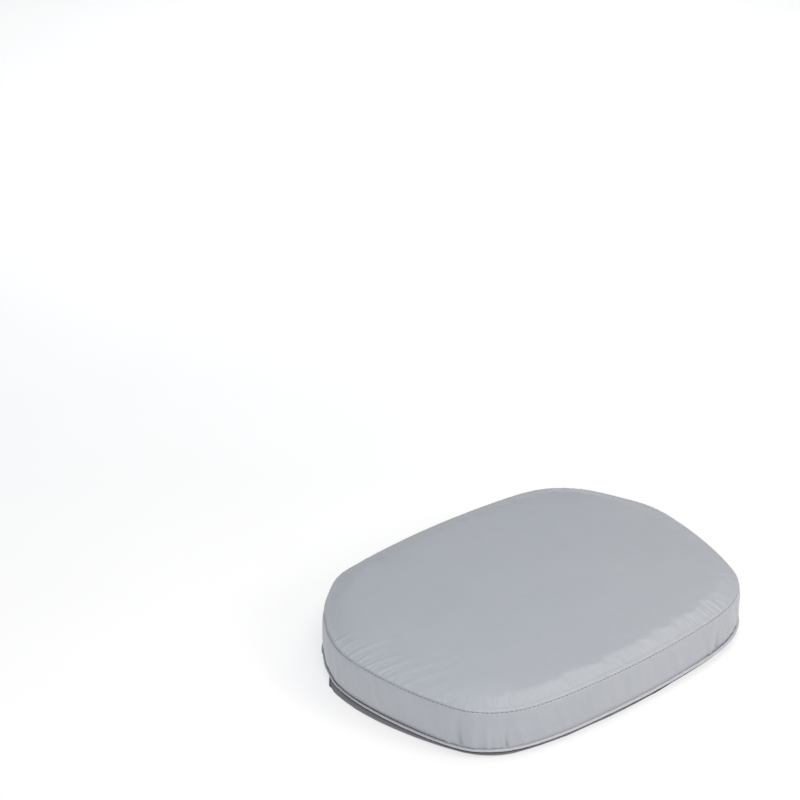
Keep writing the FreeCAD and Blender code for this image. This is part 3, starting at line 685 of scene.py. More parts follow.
def top_surface(ns, inset=0.0, lips=True, relief=1.0, z_drop=0.0):
    """Rings of the crowned top from the seam to the middle: points, faces and plan distances."""
    s = np.arange(ns) * LEN / ns
    p, n, k = plan(s)
    ds = [0.0, 0.35, 0.8, 1.3, 1.9, 2.6, 3.4, 4.3, 5.3, 6.4, 7.6, 8.9, 10.3, 11.8, 13.4, 15.0, 16.6, 18.4, 20.4, 22.6, 25.0,
          27.6, 30.4, 33.4, 36.6, 40.0]
    rings, dist = [], []
    n_in = inward(s)

    def true_distance(q):
        return np.concatenate([np.sqrt(((b[:, None] - _x[None, ::3]) ** 2).sum(2).min(1)) for b in np.array_split(q, 8)])

    for d in ds:
        w = smooth(np.array(d), 3.0, 32.0)
        m_ = n * (1 - w) + n_in * w
        m_ /= np.linalg.norm(m_, axis=1)[:, None]
        q = p - m_ * (d + inset)
        rings.append(q)
        dist.append(np.full(ns, d) if d < 8 else np.minimum(true_distance(q) - inset, d))
    centre = np.array([0.0, -8.0])
    last = rings[-1]
    for t in np.r_[np.linspace(0.03, 0.9, 30), 0.95, 0.985]:
        q = centre + (last - centre) * (1 - t)
        rings.append(q)
        dist.append(true_distance(q) - inset)
    rows, cols = len(rings), ns
    v, f, row_start, row_n = [], [], [], []
    thin = {30: 2, 38: 2, 46: 2, 51: 2}
    step, total = 1, 0
    for j, (q, dd) in enumerate(zip(rings, dist)):
        if j in thin:
            step *= thin[j]
        idx = np.arange(0, ns, step)
        row_start.append(total)
        row_n.append(len(idx))
        qq, d_, ss = q[idx], dd[idx], s[idx]
        z = SEAM_Z + dome(ss, d_) - z_drop
        h = crease_field(TOP_CREASES, ss, d_, 2.2) * relief
        tick = np.cos(2 * PI * ss / PITCH + 1.1 * wave_noise(np.random.default_rng(31), ss, 6, 30, 120))
        tick = tick * (0.55 + 0.45 * wave_noise(np.random.default_rng(32), ss, 8, 12, 60))
        tick = tick + 0.8 * wave_noise(np.random.default_rng(33), ss + 0.35 * d_, 12, 3.6, 11)
        patch = np.clip(0.80 + 0.75 * wave_noise(np.random.default_rng(61), ss, 9, 14, 70), 0.15, 1.5)
        h = h + 0.044 * relief * tick * patch * smooth(d_, 2.0, 4.5) * (1 - smooth(d_, 13, 21))
        nn = n[idx]
        lean = 0.75 * np.exp(-d_ / 9.0)
        out = h * lean
        z = z + h * (1 - 0.35 * lean)
        slack = 0.22 * relief * (np.sin(qq[:, 0] / 23.0 + 1.3 * np.sin(qq[:, 1] / 41.0)) * np.sin(qq[:, 1] / 31.0 + 0.8)
                                 + 0.6 * np.sin(qq[:, 0] / 57.0 - qq[:, 1] / 33.0 + 2.0)) * smooth(d_, 12, 40)
        z = z + slack
        if lips:
            # the panel turns down into its seam and dips at each stitch
            pull = 0.5 + 0.5 * np.cos(2 * PI * ss / PITCH)
            uneven = 1.0 + 0.45 * wave_noise(np.random.default_rng(52), ss, 8, 9, 40)
            z = z + np.interp(d_, LIP_D, LIP_Z) - 0.30 * pull * np.exp(-((d_ - 1.0) / 1.3) ** 2)
            z = z - 0.15 * (pull - 0.5) * uneven * smooth(d_, 0.5, 1.6) * np.exp(-((d_ - 2.4) / 2.6) ** 2)
            out = out + np.interp(d_, LIP_D, LIP_O) - 0.22 * pull * np.exp(-((d_ - 0.6) / 0.9) ** 2)
        v.append(np.c_[qq + nn * out[:, None], z])
        total += len(idx)
    v.append(np.array([[centre[0], centre[1], v[-1][:, 2].mean()]]))
    for j in range(rows - 1):
        a0, b0, na, nb = row_start[j], row_start[j + 1], row_n[j], row_n[j + 1]
        if na == nb:
            i = np.arange(na)
            i1 = (i + 1) % na
            f += np.stack([a0 + i, b0 + i, b0 + i1, a0 + i1], 1)[:, ::-1].tolist()
        else:
            for i in range(nb):
                e0, e1, e2 = a0 + 2 * i, a0 + 2 * i + 1, a0 + (2 * i + 2) % na
                g0, g1 = b0 + i, b0 + (i + 1) % nb
                f += [[e0, e1, g0], [e1, g1, g0], [e1, e2, g1]]
    k = len(np.concatenate(v)) - 1
    m = row_n[-1]
    f += [[row_start[-1] + i, row_start[-1] + (i + 1) % m, k] for i in range(m)]
    return np.concatenate(v), f, row_n[0]


tv, tf, tn = top_surface(NS)
top = make("cover_top_panel", tv, tf, M_TOP, repl=["top_panel"], thick=0.7, facing="up", grow=True)

# ------------------------------------------------------------------ side strip
S0, S1 = ZIP_S - 0.2, LEN - ZIP_S + 0.2
ns = 1130
ss = np.linspace(S0, S1, ns)


def z_rows(lo, hi, m):
    """Heights that crowd towards both ends."""
    t = np.linspace(0, 1, m)
    return lo + (hi - lo) * (t - 0.115 * np.sin(2 * PI * t))


def side_grid(ss, zs, ends=True):
    p, n, k = plan(ss)
    S, Z = np.meshgrid(ss, zs, indexing="ij")
    o = side_offset(S, Z) + side_relief(S, Z)
    pull = 0.5 + 0.5 * np.cos(2 * PI * S / PITCH)
    uneven = 1.0 + 0.45 * wave_noise(np.random.default_rng(51), S, 8, 9, 40)
    o = o - 0.24 * pull * np.exp(-((SEAM_Z - 1.0 - Z) / 1.2) ** 2) - 0.17 * (pull - 0.5) * uneven * np.exp(-((SEAM_Z - 2.6 - Z) / 2.4) ** 2)
    belly = smooth(Z, 14, 24) * (1 - smooth(Z, 44, 53)) * smooth(np.abs(sdiff(S, 0)), ZIP_S - 4, ZIP_S + 30)
    lean_ = 0.22 * (Z - 34)
    o = o + (0.34 * wave_noise(np.random.default_rng(5), S + lean_, 7, 26, 90)
             + 0.20 * wave_noise(np.random.default_rng(6), S - 1.6 * lean_, 6, 12, 30)) * belly
    return S, Z, o, p, n


S, Z, o, p, n = side_grid(ss, np.r_[z_rows(12.6, SEAM_Z - 1.6, 46), SEAM_Z - np.array([1.35, 1.12, 0.92, 0.76, 0.65, 0.58, 0.55])])
turn_in = np.exp(-np.abs(S - S0) / 0.9) + np.exp(-np.abs(S - S1) / 0.9)
o = o - 0.9 * turn_in + 0.30 * (np.exp(-((np.abs(S - S0) - 2.4) / 1.6) ** 2) + np.exp(-((np.abs(S - S1) - 2.4) / 1.6) ** 2))
v = np.stack([p[:, None, 0] + n[:, None, 0] * o, p[:, None, 1] + n[:, None, 1] * o,
              Z + around(S, LOW_Z) * (1 - smooth(Z, 13, 34))], -1).reshape(-1, 3)
uv = np.stack([S, Z], -1).reshape(-1, 2)
side = make("cover_side_strip", v, grid_faces(ns, S.shape[1], flip=False), M_SIDE_SHADED, uv=uv, repl=["front_boxing"],
            thick=0.7, facing="out", grow=True)

# ------------------------------------------------------------------ zip panel: plackets
nz = 300
sz = np.linspace(-ZIP_S, ZIP_S, nz)
half_open = 6.0


def placket(name, node, z_edge, z_far, sign):
    """Strip from its seam to a folded edge beside the zip, turned back inside."""
    zs = z_rows(min(z_edge + sign * 0.9, z_far), max(z_edge + sign * 0.9, z_far), 26)
    if sign > 0:
        zs = zs[::-1]
    S, Z, o, p, n = side_grid(sz, zs)
    row = 0.16 * np.exp(-((Z - (ZIP_Z + sign * (half_open + 3.0))) / 1.1) ** 2)
    o = o - row * (0.6 + 0.4 * np.cos(2 * PI * S / 3.2)) + 0.10 * np.exp(-((Z - (ZIP_Z + sign * (half_open + 1.2))) / 1.0) ** 2)
    rows_o, rows_z = [o], [Z]
    base = o[:, -1]
    r = 0.55
    for a in np.linspace(0.25, 1.0, 6) * PI:
        rows_o.append((base - r + r * math.cos(a))[:, None])
        rows_z.append(np.full((nz, 1), z_edge + sign * 0.9 - sign * 0.9 * math.sin(a)))
    for q in np.linspace(2.0, 9.0, 5):
        rows_o.append((base - 2 * r)[:, None] * np.ones((nz, 1)))
        rows_z.append(np.full((nz, 1), z_edge + sign * q))
    O, ZZ = np.concatenate(rows_o, 1), np.concatenate(rows_z, 1)
    v = np.stack([p[:, None, 0] + n[:, None, 0] * O, p[:, None, 1] + n[:, None, 1] * O, ZZ], -1)
    m = ZZ.shape[1]
    along = np.concatenate([np.zeros((nz, 1)), np.cumsum(np.linalg.norm(np.diff(v, axis=1), axis=2), 1)], 1)
    uv = np.stack([np.repeat(sz[:, None], m, 1), along], -1).reshape(-1, 2)
    return make(name, v.reshape(-1, 3), grid_faces(nz, m, flip=(sign > 0)), M_SIDE_SHADED, uv=uv, repl=[node],
                thick=0.35, facing="out", grow=True)


placket("zip_panel_upper", "zip_placket_upper", ZIP_Z + half_open, SEAM_Z - 0.56, 1)
placket("zip_panel_lower", "zip_placket_lower", ZIP_Z - half_open, 13.4, -1)


# ------------------------------------------------------------------ zip tapes and coils
def rear_pt(s, off):
    a = np.asarray(s) / ARC_R[0]
    r = ARC_R[0] + off
    return r * np.sin(a), REAR_CY + r * np.cos(a)


for name, node, z0, z1 in (("zip_tape_woven_upper", "zip_tape_upper", ZIP_Z + 2.1, ZIP_Z + 14), ("zip_tape_woven_lower", "zip_tape_lower", ZIP_Z - 14, ZIP_Z - 2.1)):
    zs = np.linspace(z0, z1, 20)
    S, Z = np.meshgrid(sz, zs, indexing="ij")
    near = np.minimum(np.abs(Z - ZIP_Z) - 2.1, 99)
    off = -0.92 + 0.12 * np.exp(-((near - 1.9) / 0.5) ** 2) + 0.03 * np.sin(S / 9.0 + Z)
    x, y = rear_pt(S, off)
    make(name, np.stack([x, y, Z], -1).reshape(-1, 3), grid_faces(nz, 20), M_TAPE, uv=np.stack([S, Z], -1).reshape(-1, 2),
         repl=[node], thick=0.5, facing="out")

TOOTH = 1.5
n_teeth = int(2 * ZIP_S / TOOTH) - 1
per = 12
for name, node, sign, phase in (("zip_coil_teeth_upper", "zip_coil_upper", 1, 0.0), ("zip_coil_teeth_lower", "zip_coil_lower", -1, 0.5)):
    u = np.arange(n_teeth * per) / per
    s_ = -ZIP_S + 1.0 + (u + phase) * TOOTH
    c = np.cos(2 * PI * u)
    zz = ZIP_Z + sign * (0.98 + 1.22 * c)
    off = -1.2 + 0.62 * np.sin(2 * PI * u)
    s_ = s_ + 0.10 * np.sin(4 * PI * u)
    x, y = rear_pt(s_, off)
    path = np.stack([x, y, zz], -1)
    up = np.tile([0, 1.0, 0.01], (len(path), 1))
    t_, f_ = tube(path, up, 0.30 + 0.07 * (c < -0.6), 0.30, sides=7)
    make(name, t_, f_, M_NYLON, repl=[node])

# ------------------------------------------------------------------ welt and its cord
nw = 1392
sw = np.arange(nw) * LEN / nw
p, n, k = plan(sw)
rw = np.random.default_rng(3)
tall = around(sw, [(0, 1.6), (300, 1.5), (480, 1.5), (560, 1.45), (700, 1.35), (822, 1.3), (900, 1.1), (960, 0.85), (990, 0.75), (1040, 0.9), (1120, 1.4)])
wide = around(sw, [(0, 1.75), (300, 1.7), (560, 1.7), (822, 1.65), (900, 1.5), (960, 1.2), (990, 1.0), (1040, 1.2), (1120, 1.6)]) + 0.05 * wave_noise(rw, sw, 8, 14, 60)
ripple = 0.09 * wave_noise(rw, sw, 10, 9, 40) * smooth(np.abs(sdiff(sw, 0)), ZIP_S, ZIP_S + 30)
corner_out = around(sw, [(440, 0), (485, 0.7), (515, 0.9), (545, 0.3), (580, 0), (800, 0), (840, 0.2), (900, 0.5), (960, 0.2), (990, -0.2), (1040, 0), (300, 0)])
welt_z = WELT_Z + ripple + around(sw, LOW_Z) * 0.8
welt_c = 1.62 + corner_out + 0.5 * ripple
path = np.c_[p + n * welt_c[:, None], welt_z]
sides = 26
a = 2 * PI * np.arange(sides) / sides


def welt_section(q):
    """Flattened piping with a shallow pressed line along its outer face."""
    u = (q + PI) % (2 * PI) - PI
    w_ = np.minimum(np.abs(u), np.abs(PI - np.abs(u)))
    return 1 - 0.20 * np.exp(-(w_ / 0.20) ** 2)


v, f = tube(path, np.tile([0, 0, 1.0], (nw, 1)), tall, wide, sides=sides, closed=True, power=2.4, twist=welt_section)
uv = np.stack([np.repeat(sw[:, None], sides, 1), np.tile(a * 1.9, (nw, 1))], -1).reshape(-1, 2)
make("base_seam_welt", v, f, M_WELT, uv=uv, repl=["base_welt"])
pc = np.c_[p + n * welt_c[:, None], welt_z]
v, f = tube(pc, np.tile([0, 0, 1.0], (nw, 1)), 0.62, 0.85, sides=12, closed=True)
make("welt_filler_cord", v, f, M_CORD, repl=["welt_cord"])


# ------------------------------------------------------------------ pocket
def resample(pts, m):
    d = np.r_[0, np.cumsum(np.hypot(*np.diff(pts, axis=0).T))]
    t = np.linspace(0, d[-1], m)
    return np.stack([np.interp(t, d, pts[:, 0]), np.interp(t, d, pts[:, 1])], 1)


SCOOP = 9.0        # the mouth's edge runs back this far where the wall meets the seam


def cut_at_mouth(pts, at=MOUTH_Y):
    i = int(np.argmax(pts[:, 1] >= at))
    a_, b_ = pts[i - 1], pts[i]
    q = a_ + (b_ - a_) * (at - a_[1]) / (b_[1] - a_[1])
    return np.r_[pts[:i], [q]]


def floor_half():
    px, py, hd = 0.0, -FLOOR_FRONT_Y, 0.0
    out = []
    for r, t in zip(FLOOR_R, FLOOR_TURN):
        t = math.radians(t)
        cx, cy = px + r * math.sin(hd), py - r * math.cos(hd)
        a_ = hd + PI / 2
        m = int(r * t / 0.5)
        u = a_ - t * np.arange(m) / m
        out.append(np.stack([cx + r * np.cos(u), -(cy + r * np.sin(u))], 1))
        px, py = cx + r * math.cos(a_ - t), cy + r * math.sin(a_ - t)
        hd -= t
    c = cut_at_mouth(np.concatenate(out))
    c[:, 0] -= 3.5 * smooth(c[:, 1], 32, MOUTH_Y) ** 2
    return c


NU = 601
fh = resample(floor_half(), NU)
sh = resample(cut_at_mouth(HALF[::-1], MOUTH_Y + SCOOP), NU)
FU = np.r_[(fh * [-1, 1])[::-1], fh[1:]]          # left of the mouth, round the front, right of the mouth
SU = np.r_[(sh * [-1, 1])[::-1], sh[1:]]
nu = len(FU)
uu = np.r_[0, np.cumsum(np.hypot(*np.diff(FU, axis=0).T))]


def u_normals(c):
    t_ = np.gradient(c, axis=0)
    t_ /= np.hypot(*t_.T)[:, None]
    return np.stack([t_[:, 1], -t_[:, 0]], 1)


FN, SN = u_normals(FU), u_normals(SU)
if (FN[nu // 2] @ np.array([0, -1.0])) < 0:
    FN, SN = -FN, -SN
rp = np.random.default_rng(21)
pleat = np.zeros(nu)
for _ in range(60):
    c0, w0, a0 = rp.uniform(0, uu[-1]), rp.uniform(2.5, 6.0), rp.uniform(0.08, 0.34)
    q = (uu - c0) / w0
    pleat += a0 * np.exp(-q * q) * np.cos(2.0 * q)
prof = [(0.0, 11.0), (0.02, 10.0), (0.10, 9.0), (0.25, 7.6), (0.42, 6.0), (0.60, 4.6), (0.76, 3.3), (0.90, 2.1), (0.98, 1.3)]
d_su = np.r_[0, np.cumsum(np.hypot(*np.diff(SU, axis=0).T))]
s_su = LEN / 2 + d_su[-1] / 2 - d_su
PUSH = around(s_su, [(250, 1.0), (400, 1.0), (480, -1.5), (560, -0.5), (640, 0.3), (690, 1.0), (735, 3.8), (790, 4.6), (830, 3.8), (870, 4.2),
                     (909, 4.4), (950, 4.8), (975, 4.6), (990, 3.6), (1015, 1.6), (1040, 1.0), (1150, 0), (100, 0)])
FULL = [0.0, 0.0, 0.10, 0.34, 0.62, 0.86, 1.0, 1.0, 0.88]
rows = []
for (t_, z_), w_ in zip(prof, FULL):
    c = SU * (1 - t_) + FU * t_ + (SN * (1 - t_) + FN * t_) * ((-0.35 + 0.45 * math.sin(PI * t_))
                                                             + (PUSH * w_ + pleat * math.sin(PI * min(1, t_ + 0.1)))[:, None])
    rows.append(np.c_[c, np.full(nu, z_)])
for d_, z_, w_ in ((0.15, 0.75, 0.74), (0.55, 0.36, 0.56), (1.1, 0.16, 0.34), (2.0, 0.06, 0.0)):
    rows.append(np.c_[FU + FN * (PUSH * w_ - d_)[:, None], np.full(nu, z_)])
v = np.stack(rows, 1)
m = v.shape[1]
depth = np.concatenate([np.zeros((nu, 1)), np.cumsum(np.linalg.norm(np.diff(v, axis=1), axis=2), 1)], 1)
uv = np.stack([np.repeat(uu[:, None], m, 1), depth], -1).reshape(-1, 2)
make("pocket_side_wall", v.reshape(-1, 3), grid_faces(nu, m, flip=False), M_POCKET_UV, uv=uv, repl=["pocket_wall"],
     thick=0.8, facing="out")

# the pocket's bound top edge under the welt, in the near-black rib: a real dark edge that also paints the shade in the
# gap under the welt
end = smooth(d_su, 0, 5) * smooth(d_su[-1] - d_su, 0, 5)
b_off = around(s_su, [(250, 1.7), (560, 1.7), (700, 1.7), (790, 1.9), (900, 1.9), (990, 1.3), (1040, 1.0), (1150, 1), (100, 1)])
b_z = around(s_su, [(250, 10.0), (560, 10.1), (700, 10.1), (790, 9.6), (830, 9.0), (900, 9.2), (960, 9.2), (1040, 10.0), (1150, 10), (100, 10)])
v, f = tube(np.c_[SU + SN * b_off[:, None], b_z], np.tile([0, 0, 1.0], (nu, 1)), 0.75, 0.7 + 0.0 * end, sides=10)
uv = np.stack([np.repeat(uu[:, None], 10, 1), np.tile(np.arange(10) * 0.45, (nu, 1))], -1).reshape(-1, 2)
make("pocket_top_binding_and_painted_shade", v, f, M_EDGE_AND_PAINTED_SHADE, uv=np.r_[uv, uv[:1], uv[-1:]])

# floor of the pocket: rows straight across between matching points of its outline
half_n = NU
ys = fh[0, 1] + 0.9 + (MOUTH_Y - 2.9 - fh[0, 1]) * np.linspace(0, 1, 240) ** 2
xs = np.maximum(np.interp(ys, fh[:, 1], fh[:, 0]) - 1.0, 0.5)
cols = np.linspace(-1, 1, 121)
X = xs[:, None] * cols[None]
Y = np.repeat(ys[:, None], len(cols), 1)
bow = (1 - np.abs(cols[None]) ** 4) * 1.0
Zf = 0.10 + 0.0 * X
edge_in = np.minimum(xs[:, None] - np.abs(X), (Y + 165.0) * 0.9)
Zf = Zf + 0.22 * np.exp(-((edge_in - 2.2) / 0.8) ** 2) + 0.10 * (0.5 + 0.5 * np.sin(X / 17.0 + 0.7 * np.sin(Y / 29.0)) * np.sin(Y / 21.0)) * smooth(edge_in, 5, 20)
v = np.stack([X, Y, Zf], -1).reshape(-1, 3)
fl = make("pocket_floor_panel", v, grid_faces(len(ys), len(cols), flip=False), M_POCKET, repl=["pocket_floor"],
          thick=0.9, facing="down")

# hem round the mouth: one bound strip up the left end, across the floor and up the right end
lt, rt = SU[0], SU[-1]
lb, rb = FU[0], FU[-1]
r_c = 2.4
hem_path = []
zc = 1.15


def hem_side(full, foot):
    """Half of the hem's line seen from the rear, from its top at the seam down round the soft lower corner, and how
    far each point runs back."""
    path = [(lt[0] - 0.2, 10.4, 1.0)]
    for (t_, z_), w_ in list(zip(prof, FULL))[2:7]:
        path.append((lt[0] * (1 - t_) + lb[0] * t_ - 0.3 - full * w_, max(z_, zc + 1.6), 1 - t_))
    path.append((lb[0] - 0.3 - full * 0.86, zc + 0.75, 0.04))
    path.append((lb[0] - full * 0.45, zc + 0.12, 0))
    path.append((lb[0] + foot, zc, 0))
    return np.array(path)


left, right = hem_side(PUSH[0], 3.0), hem_side(PUSH[-1], 3.0) * [-1, 1, 1]
mid = np.stack([np.linspace(left[-1, 0], right[-1, 0], 90)[1:-1], np.full(88, zc), np.zeros(88)], 1)
h3 = np.r_[left, mid, right[::-1]]
h_d = np.r_[0, np.cumsum(np.hypot(*np.diff(h3[:, :2], axis=0).T))]
hp = h3[:, :2]
hp = resample(hp, 520)
back = SCOOP * np.interp(np.linspace(0, h_d[-1], len(hp)), h_d, h3[:, 2])
tt = np.gradient(hp, axis=0)
tt /= np.hypot(*tt.T)[:, None]
hn = np.stack([tt[:, 1], -tt[:, 0]], 1)           # outward: left, down, right
sec = []
half_t = 0.95
for y_ in np.linspace(MOUTH_Y - HEM_W, MOUTH_Y - 1.0, 12):
    sec.append((y_, half_t * (0.86 + 0.14 * math.cos(0)) - 0.16 * math.exp(-((y_ - (MOUTH_Y - 3.0)) / 0.7) ** 2)
                - 0.16 * math.exp(-((y_ - (MOUTH_Y - 9.5)) / 0.7) ** 2)))
for a_ in np.linspace(PI / 2, -PI / 2, 8)[1:-1]:
    sec.append((MOUTH_Y - 1.0 + 1.0 * math.cos(a_), half_t * math.sin(a_)))
for y_, h_ in [(q[0], -q[1]) for q in sec[:12]][::-1]:
    sec.append((y_, h_))
sec = np.array(sec)
v = np.stack([hp[:, None, 0] + hn[:, None, 0] * sec[None, :, 1],
              sec[None, :, 0] + back[:, None],
              hp[:, None, 1] + hn[:, None, 1] * sec[None, :, 1]], -1)
gl = np.r_[0, np.cumsum(np.hypot(*np.diff(hp, axis=0).T))]
gs = np.r_[0, np.cumsum(np.hypot(*np.diff(sec, axis=0).T))]
uv = np.stack([np.repeat(gl[:, None], len(sec), 1), np.repeat(gs[None], len(gl), 0)], -1).reshape(-1, 2)
fcs = grid_faces(len(hp), len(sec), close_m=True, flip=True).tolist()
m = len(sec)
fcs += [list(range(m)), list(range((len(hp) - 1) * m, len(hp) * m))[::-1]]
make("pocket_mouth_hem", v.reshape(-1, 3), fcs, M_HEM, uv=uv, repl=["pocket_hem"])

# base panel: the ceiling of the pocket, seen behind its mouth
nb = 720
sb = np.arange(nb) * LEN / nb
p, n, k = plan(sb)
centre = np.array([0.0, -8.0])
rings = [p - n * d_ for d_ in (-0.2, 0.5, 1.4, 2.6, 4.2, 6.5, 10, 15)]
rings += [centre + (rings[-1] - centre) * (1 - t_) for t_ in np.linspace(0.06, 0.97, 22)]
vs = []
for j, q in enumerate(rings):
    d_ = (-0.2, 0.5, 1.4, 2.6, 4.2, 6.5, 10, 15)[j] if j < 8 else 30
    z_ = 10.75 + 0.5 * math.exp(-max(d_, 0) / 1.2) + 0.06 * np.sin(q[:, 0] / 15.0) * np.sin(q[:, 1] / 12.0)
    vs.append(np.c_[q, z_ * np.ones(nb)])
v = np.stack(vs, 1).reshape(-1, 3)
m = len(rings)
fcs = grid_faces(nb, m, close_n=True, flip=True).tolist()
v = np.r_[v, [[centre[0], centre[1], 10.75]]]
fcs += [[i * m + m - 1, ((i + 1) % nb) * m + m - 1, len(v) - 1][::-1] for i in range(nb)]
make("base_panel_cloth", v, fcs, M_POCKET, repl=["base_panel"], thick=0.7, facing="down")


# ------------------------------------------------------------------ filling
def block(name, inset, z_low, nodes, mat, thick=None, open_zip=False, ns_=360, z_drop=0.0):
    tv_, tf_, tn_ = top_surface(ns_, inset=inset, lips=False, relief=0.0, z_drop=z_drop)
    s_ = np.arange(ns_) * LEN / ns_
    p_, n_, _ = plan(s_)
    zz = np.linspace(SEAM_Z - z_drop, z_low, 16)[1:]
    rows_ = np.stack([np.c_[p_ - n_ * inset, np.full(ns_, z)] for z in zz], 0).reshape(-1, 3)
    v_ = np.r_[tv_, rows_]
    k_ = len(tv_)
    f_ = list(tf_)
    i = np.arange(ns_)
    i1 = (i + 1) % ns_
    prev = i
    for r in range(len(zz)):
        cur = k_ + r * ns_ + i
        prev1 = prev[i1]
        q_ = np.stack([prev, prev1, cur[i1], cur], 1)
        if open_zip and zz[r] < 47:
            q_ = q_[np.abs(sdiff(s_, 0)) > ZIP_S + 6]
        f_ += q_[:, ::-1].tolist()
        prev = cur
    if thick is None:
        base_i = len(v_)
        ring_r = [prev]
        for t_ in (0.1, 0.35, 0.6, 0.85):
            q = centre + ((p_ - n_ * inset) - centre) * (1 - t_)
            v_ = np.r_[v_, np.c_[q, np.full(ns_, z_low)]]
            ring_r.append(np.arange(len(v_) - ns_, len(v_)))
        for a_, b_ in zip(ring_r, ring_r[1:]):
            f_ += np.stack([a_, a_[i1], b_[i1], b_], 1)[:, ::-1].tolist()
        v_ = np.r_[v_, [[centre[0], centre[1], z_low]]]
        last_ = ring_r[-1]
        f_ += [[int(last_[j]), int(last_[(j + 1) % ns_]), len(v_) - 1][::-1] for j in range(ns_)]
    ob = make(name, v_, f_, mat, repl=nodes, thick=thick, facing="up" if open_zip else None)
    return ob


foam = block("foam_block", 4.6, 12.2, ["foam_core"], M_FOAM, z_drop=4.6)
wad = block("wadding_layer", 2.4, 15.0, ["wadding_wrap"], M_WAD, thick=1.6, open_zip=True, z_drop=1.9)


# ------------------------------------------------------------------ stitching
def frame_at(s_):
    p_, n_, _ = plan(s_)
    t_ = np.c_[n_[:, 1], -n_[:, 0], np.zeros(len(n_))]
    return p_, n_, t_


s_ = (np.arange(N_STITCH) + 0.5) * PITCH
p_, n_, t_ = frame_at(s_)
jit = np.random.default_rng(8).normal(0, 0.12, (3, len(s_)))
c_ = np.c_[p_ + n_ * (-0.30 + 0.3 * jit[0])[:, None], SEAM_Z - 0.10 + 0.3 * jit[1]]
v, f = stitches(c_, t_ + np.c_[np.zeros((len(s_), 2)), 0.25 * jit[2]], np.c_[n_, 0.25 * np.ones(len(s_))], 2.5, 0.40, 0.42)
make("top_seam_thread", v, f, M_THREAD, repl=["top_seam_stitching"])

ok = np.arange(int(LEN / 4.2))
s_ = (ok + 0.5) * LEN / len(ok)
p_, n_, t_ = frame_at(s_)
c_ = np.c_[p_ + n_ * (side_offset(s_, np.full(len(s_), 13.6)) + 0.74)[:, None], 13.6 + around(s_, LOW_Z)]
v, f = stitches(c_, t_, np.c_[n_, 0.9 * np.ones(len(s_))], 2.7, 0.26, 0.25)
make("base_seam_thread", v, f, M_THREAD, repl=["base_seam_stitching"])

parts = []
for sign in (-1, 1):
    m = int(2 * (ZIP_S - 2) / 3.2)
    s_ = -ZIP_S + 2 + (np.arange(m) + 0.5) * 3.2
    p_, n_, t_ = frame_at(s_)
    z_ = ZIP_Z + sign * (half_open + 3.0)
    so = side_offset(s_, np.full(m, z_))
    parts.append(stitches(np.c_[p_ + n_ * (so + 0.38)[:, None], np.full(m, z_)], t_, np.c_[n_, np.zeros(m)], 2.3, 0.22, 0.3))
for side_s in (ZIP_S + 3.0, LEN - ZIP_S - 3.0):
    zz = np.arange(18.0, 52.0, 3.2)
    p_, n_, t_ = frame_at(np.full(len(zz), side_s))
    so = side_offset(np.full(len(zz), side_s), zz) + side_relief(np.full(len(zz), side_s), zz) + 0.98
    parts.append(stitches(np.c_[p_ + n_ * so[:, None], zz], np.tile([0, 0, 1.0], (len(zz), 1)), np.c_[n_, np.zeros(len(zz))], 2.3, 0.22, 0.3))
v, f = join(parts)
make("zip_panel_thread", v, f, M_THREAD, repl=["zip_stitching"])

# underside rows: round the pocket floor, and two rows along the hem
parts = []
m = int(uu[-1] / 3.6)
q = np.linspace(0, uu[-1], m + 1)[:-1] + 1.8
q = q[(q > 16) & (q < uu[-1] - 16)]
c2 = np.stack([np.interp(q, uu, (FU - FN * 3.2)[:, 0]), np.interp(q, uu, (FU - FN * 3.2)[:, 1])], 1)
tg = np.stack([np.interp(q, uu, np.gradient(FU[:, 0], uu)), np.interp(q, uu, np.gradient(FU[:, 1], uu))], 1)
parts.append(stitches(np.c_[c2, np.full(len(q), 0.27)], np.c_[tg, np.zeros(len(q))], np.tile([0, 0, -1.0], (len(q), 1)), 2.5, 0.22, 0.25))
for y_ in (MOUTH_Y - 3.0, MOUTH_Y - 9.5):
    q = np.arange(8, gl[-1] - 8, 3.4)
    cx_ = np.interp(q, gl, hp[:, 0] + hn[:, 0] * 0.82)
    cz_ = np.interp(q, gl, hp[:, 1] + hn[:, 1] * 0.82)
    tx_, tz_ = np.interp(q, gl, tt[:, 0]), np.interp(q, gl, tt[:, 1])
    nx_, nz_ = np.interp(q, gl, hn[:, 0]), np.interp(q, gl, hn[:, 1])
    parts.append(stitches(np.c_[cx_, y_ + np.interp(q, gl, back), cz_], np.c_[tx_, np.zeros(len(q)), tz_], np.c_[nx_, np.zeros(len(q)), nz_], 2.4, 0.22, 0.25))
v, f = join(parts)
make("pocket_thread", v, f, M_THREAD_D, repl=["pocket_seam_stitching"])


# ------------------------------------------------------------------ CAD nodes that stay
for node in ("zip_slider", "zip_pull", "zip_top_stops", "zip_bottom_stop"):
    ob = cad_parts[node]
    ob.data.materials.clear()
    ob.data.materials.append(M_METAL)

# ------------------------------------------------------------------ studio
floor_mesh = bpy.data.meshes.new("studio_floor")
floor_mesh.from_pydata([(-6, -6, 0), (6, -6, 0), (6, 6, 0), (-6, 6, 0)], [], [(0, 1, 2, 3)])
floor_o = bpy.data.objects.new("studio_floor", floor_mesh)
bpy.context.scene.collection.objects.link(floor_o)
mf = Mat("studio_floor")
nf = mf.noise(mf.mapping("Object"), 3.0, 2.0, 0.5)
mf.link(mf.ramp(nf, [(0.3, (0.32, 0.32, 0.32)), (0.7, (0.34, 0.34, 0.34))]), mf.b.inputs["Base Color"])
mf.set(Roughness=0.9, Specular_IOR_Level=0.1, Emission_Strength=0.68)
mf.b.inputs["Emission Color"].default_value = (1, 1, 1, 1)
floor_mesh.materials.append(mf.m)

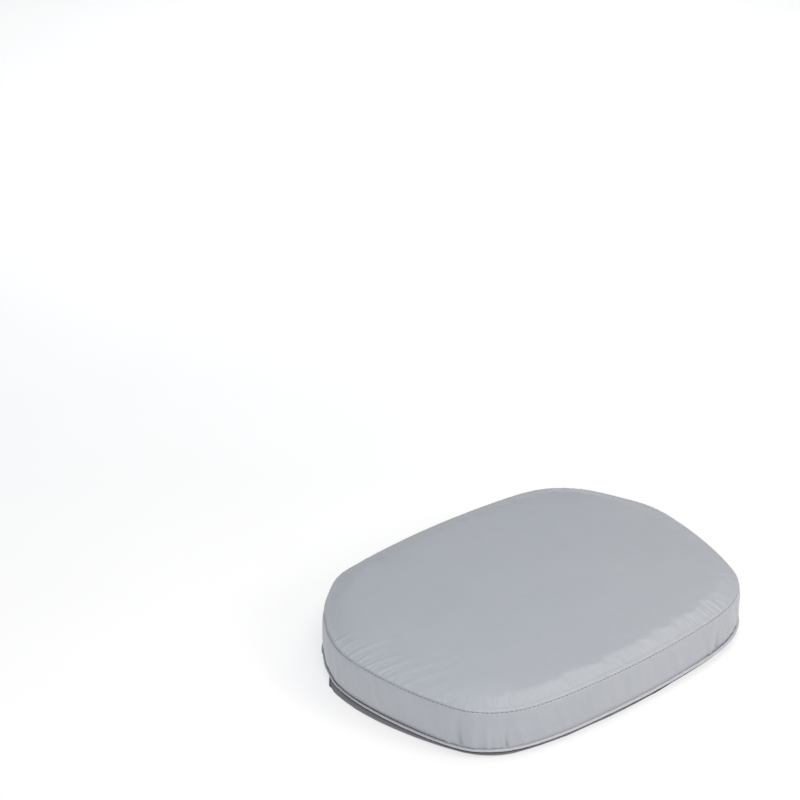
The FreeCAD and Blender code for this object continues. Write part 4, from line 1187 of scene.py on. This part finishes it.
world = bpy.data.worlds.new("studio")
bpy.context.scene.world = world
world.use_nodes = True
world.node_tree.nodes["Background"].inputs[0].default_value = (0.96, 0.99, 1.05, 1)
world.node_tree.nodes["Background"].inputs[1].default_value = 0.26


def area(name, loc, target, size, power, colour=(1, 1, 1), size_y=None):
    d_ = bpy.data.lights.new(name, "AREA")
    d_.energy = power
    d_.color = colour
    d_.size = size
    if size_y:
        d_.shape = "RECTANGLE"
        d_.size_y = size_y
    ob = bpy.data.objects.new(name, d_)
    bpy.context.scene.collection.objects.link(ob)
    loc, target = np.array(loc, float), np.array(target, float)
    z_ = loc - target
    z_ /= np.linalg.norm(z_)
    x_ = np.cross([0, 0, 1.0], z_)
    x_ = x_ / np.linalg.norm(x_) if np.linalg.norm(x_) > 1e-6 else np.array([1.0, 0, 0])
    y_ = np.cross(z_, x_)
    ob.visible_camera = False
    ob.matrix_world = Matrix([[*r] for r in np.c_[np.stack([x_, y_, z_], 1), loc]] + [[0, 0, 0, 1]])
    return ob


def tinted(power, rgb):
    m = max(rgb)
    return power * m, tuple(c / m for c in rgb)


for name, loc, size, power, rgb in (
        ("overhead", (0.55, -0.15, 1.35), 1.1, 17.6, (0.49, 0.457, 0.40)),
        ("overhead_rear", (0.3, 0.9, 1.5), 1.2, 20, (0.02, 0.08, 0.13)),
        ("key", (1.1, -2.3, 1.7), 1.0, 47.5, (0.765, 0.735, 0.735)),
        ("fill", (-2.4, -0.9, 1.3), 1.4, 18, (0.79, 0.765, 0.785)),
        ("side_low", (-2.3, 0.9, 0.6), 0.8, 4, (0.79, 0.765, 0.785)),
        ("fill_near", (-0.6, -0.65, 1.05), 0.5, 7.0, (0.79, 0.765, 0.775))):
    e_, c_ = tinted(power, rgb)
    area(name, loc, (0, 0, 0.03), size, e_, c_)
area("backdrop", (0.75, 0.95, 0.9), (1.3, 1.7, 0.0), 0.8, 12)

bpy.context.scene.view_settings.view_transform = "Standard"
bpy.context.scene.view_settings.look = "None"
bpy.context.scene.view_settings.exposure = 0.0
bpy.context.scene.view_settings.gamma = 1.0
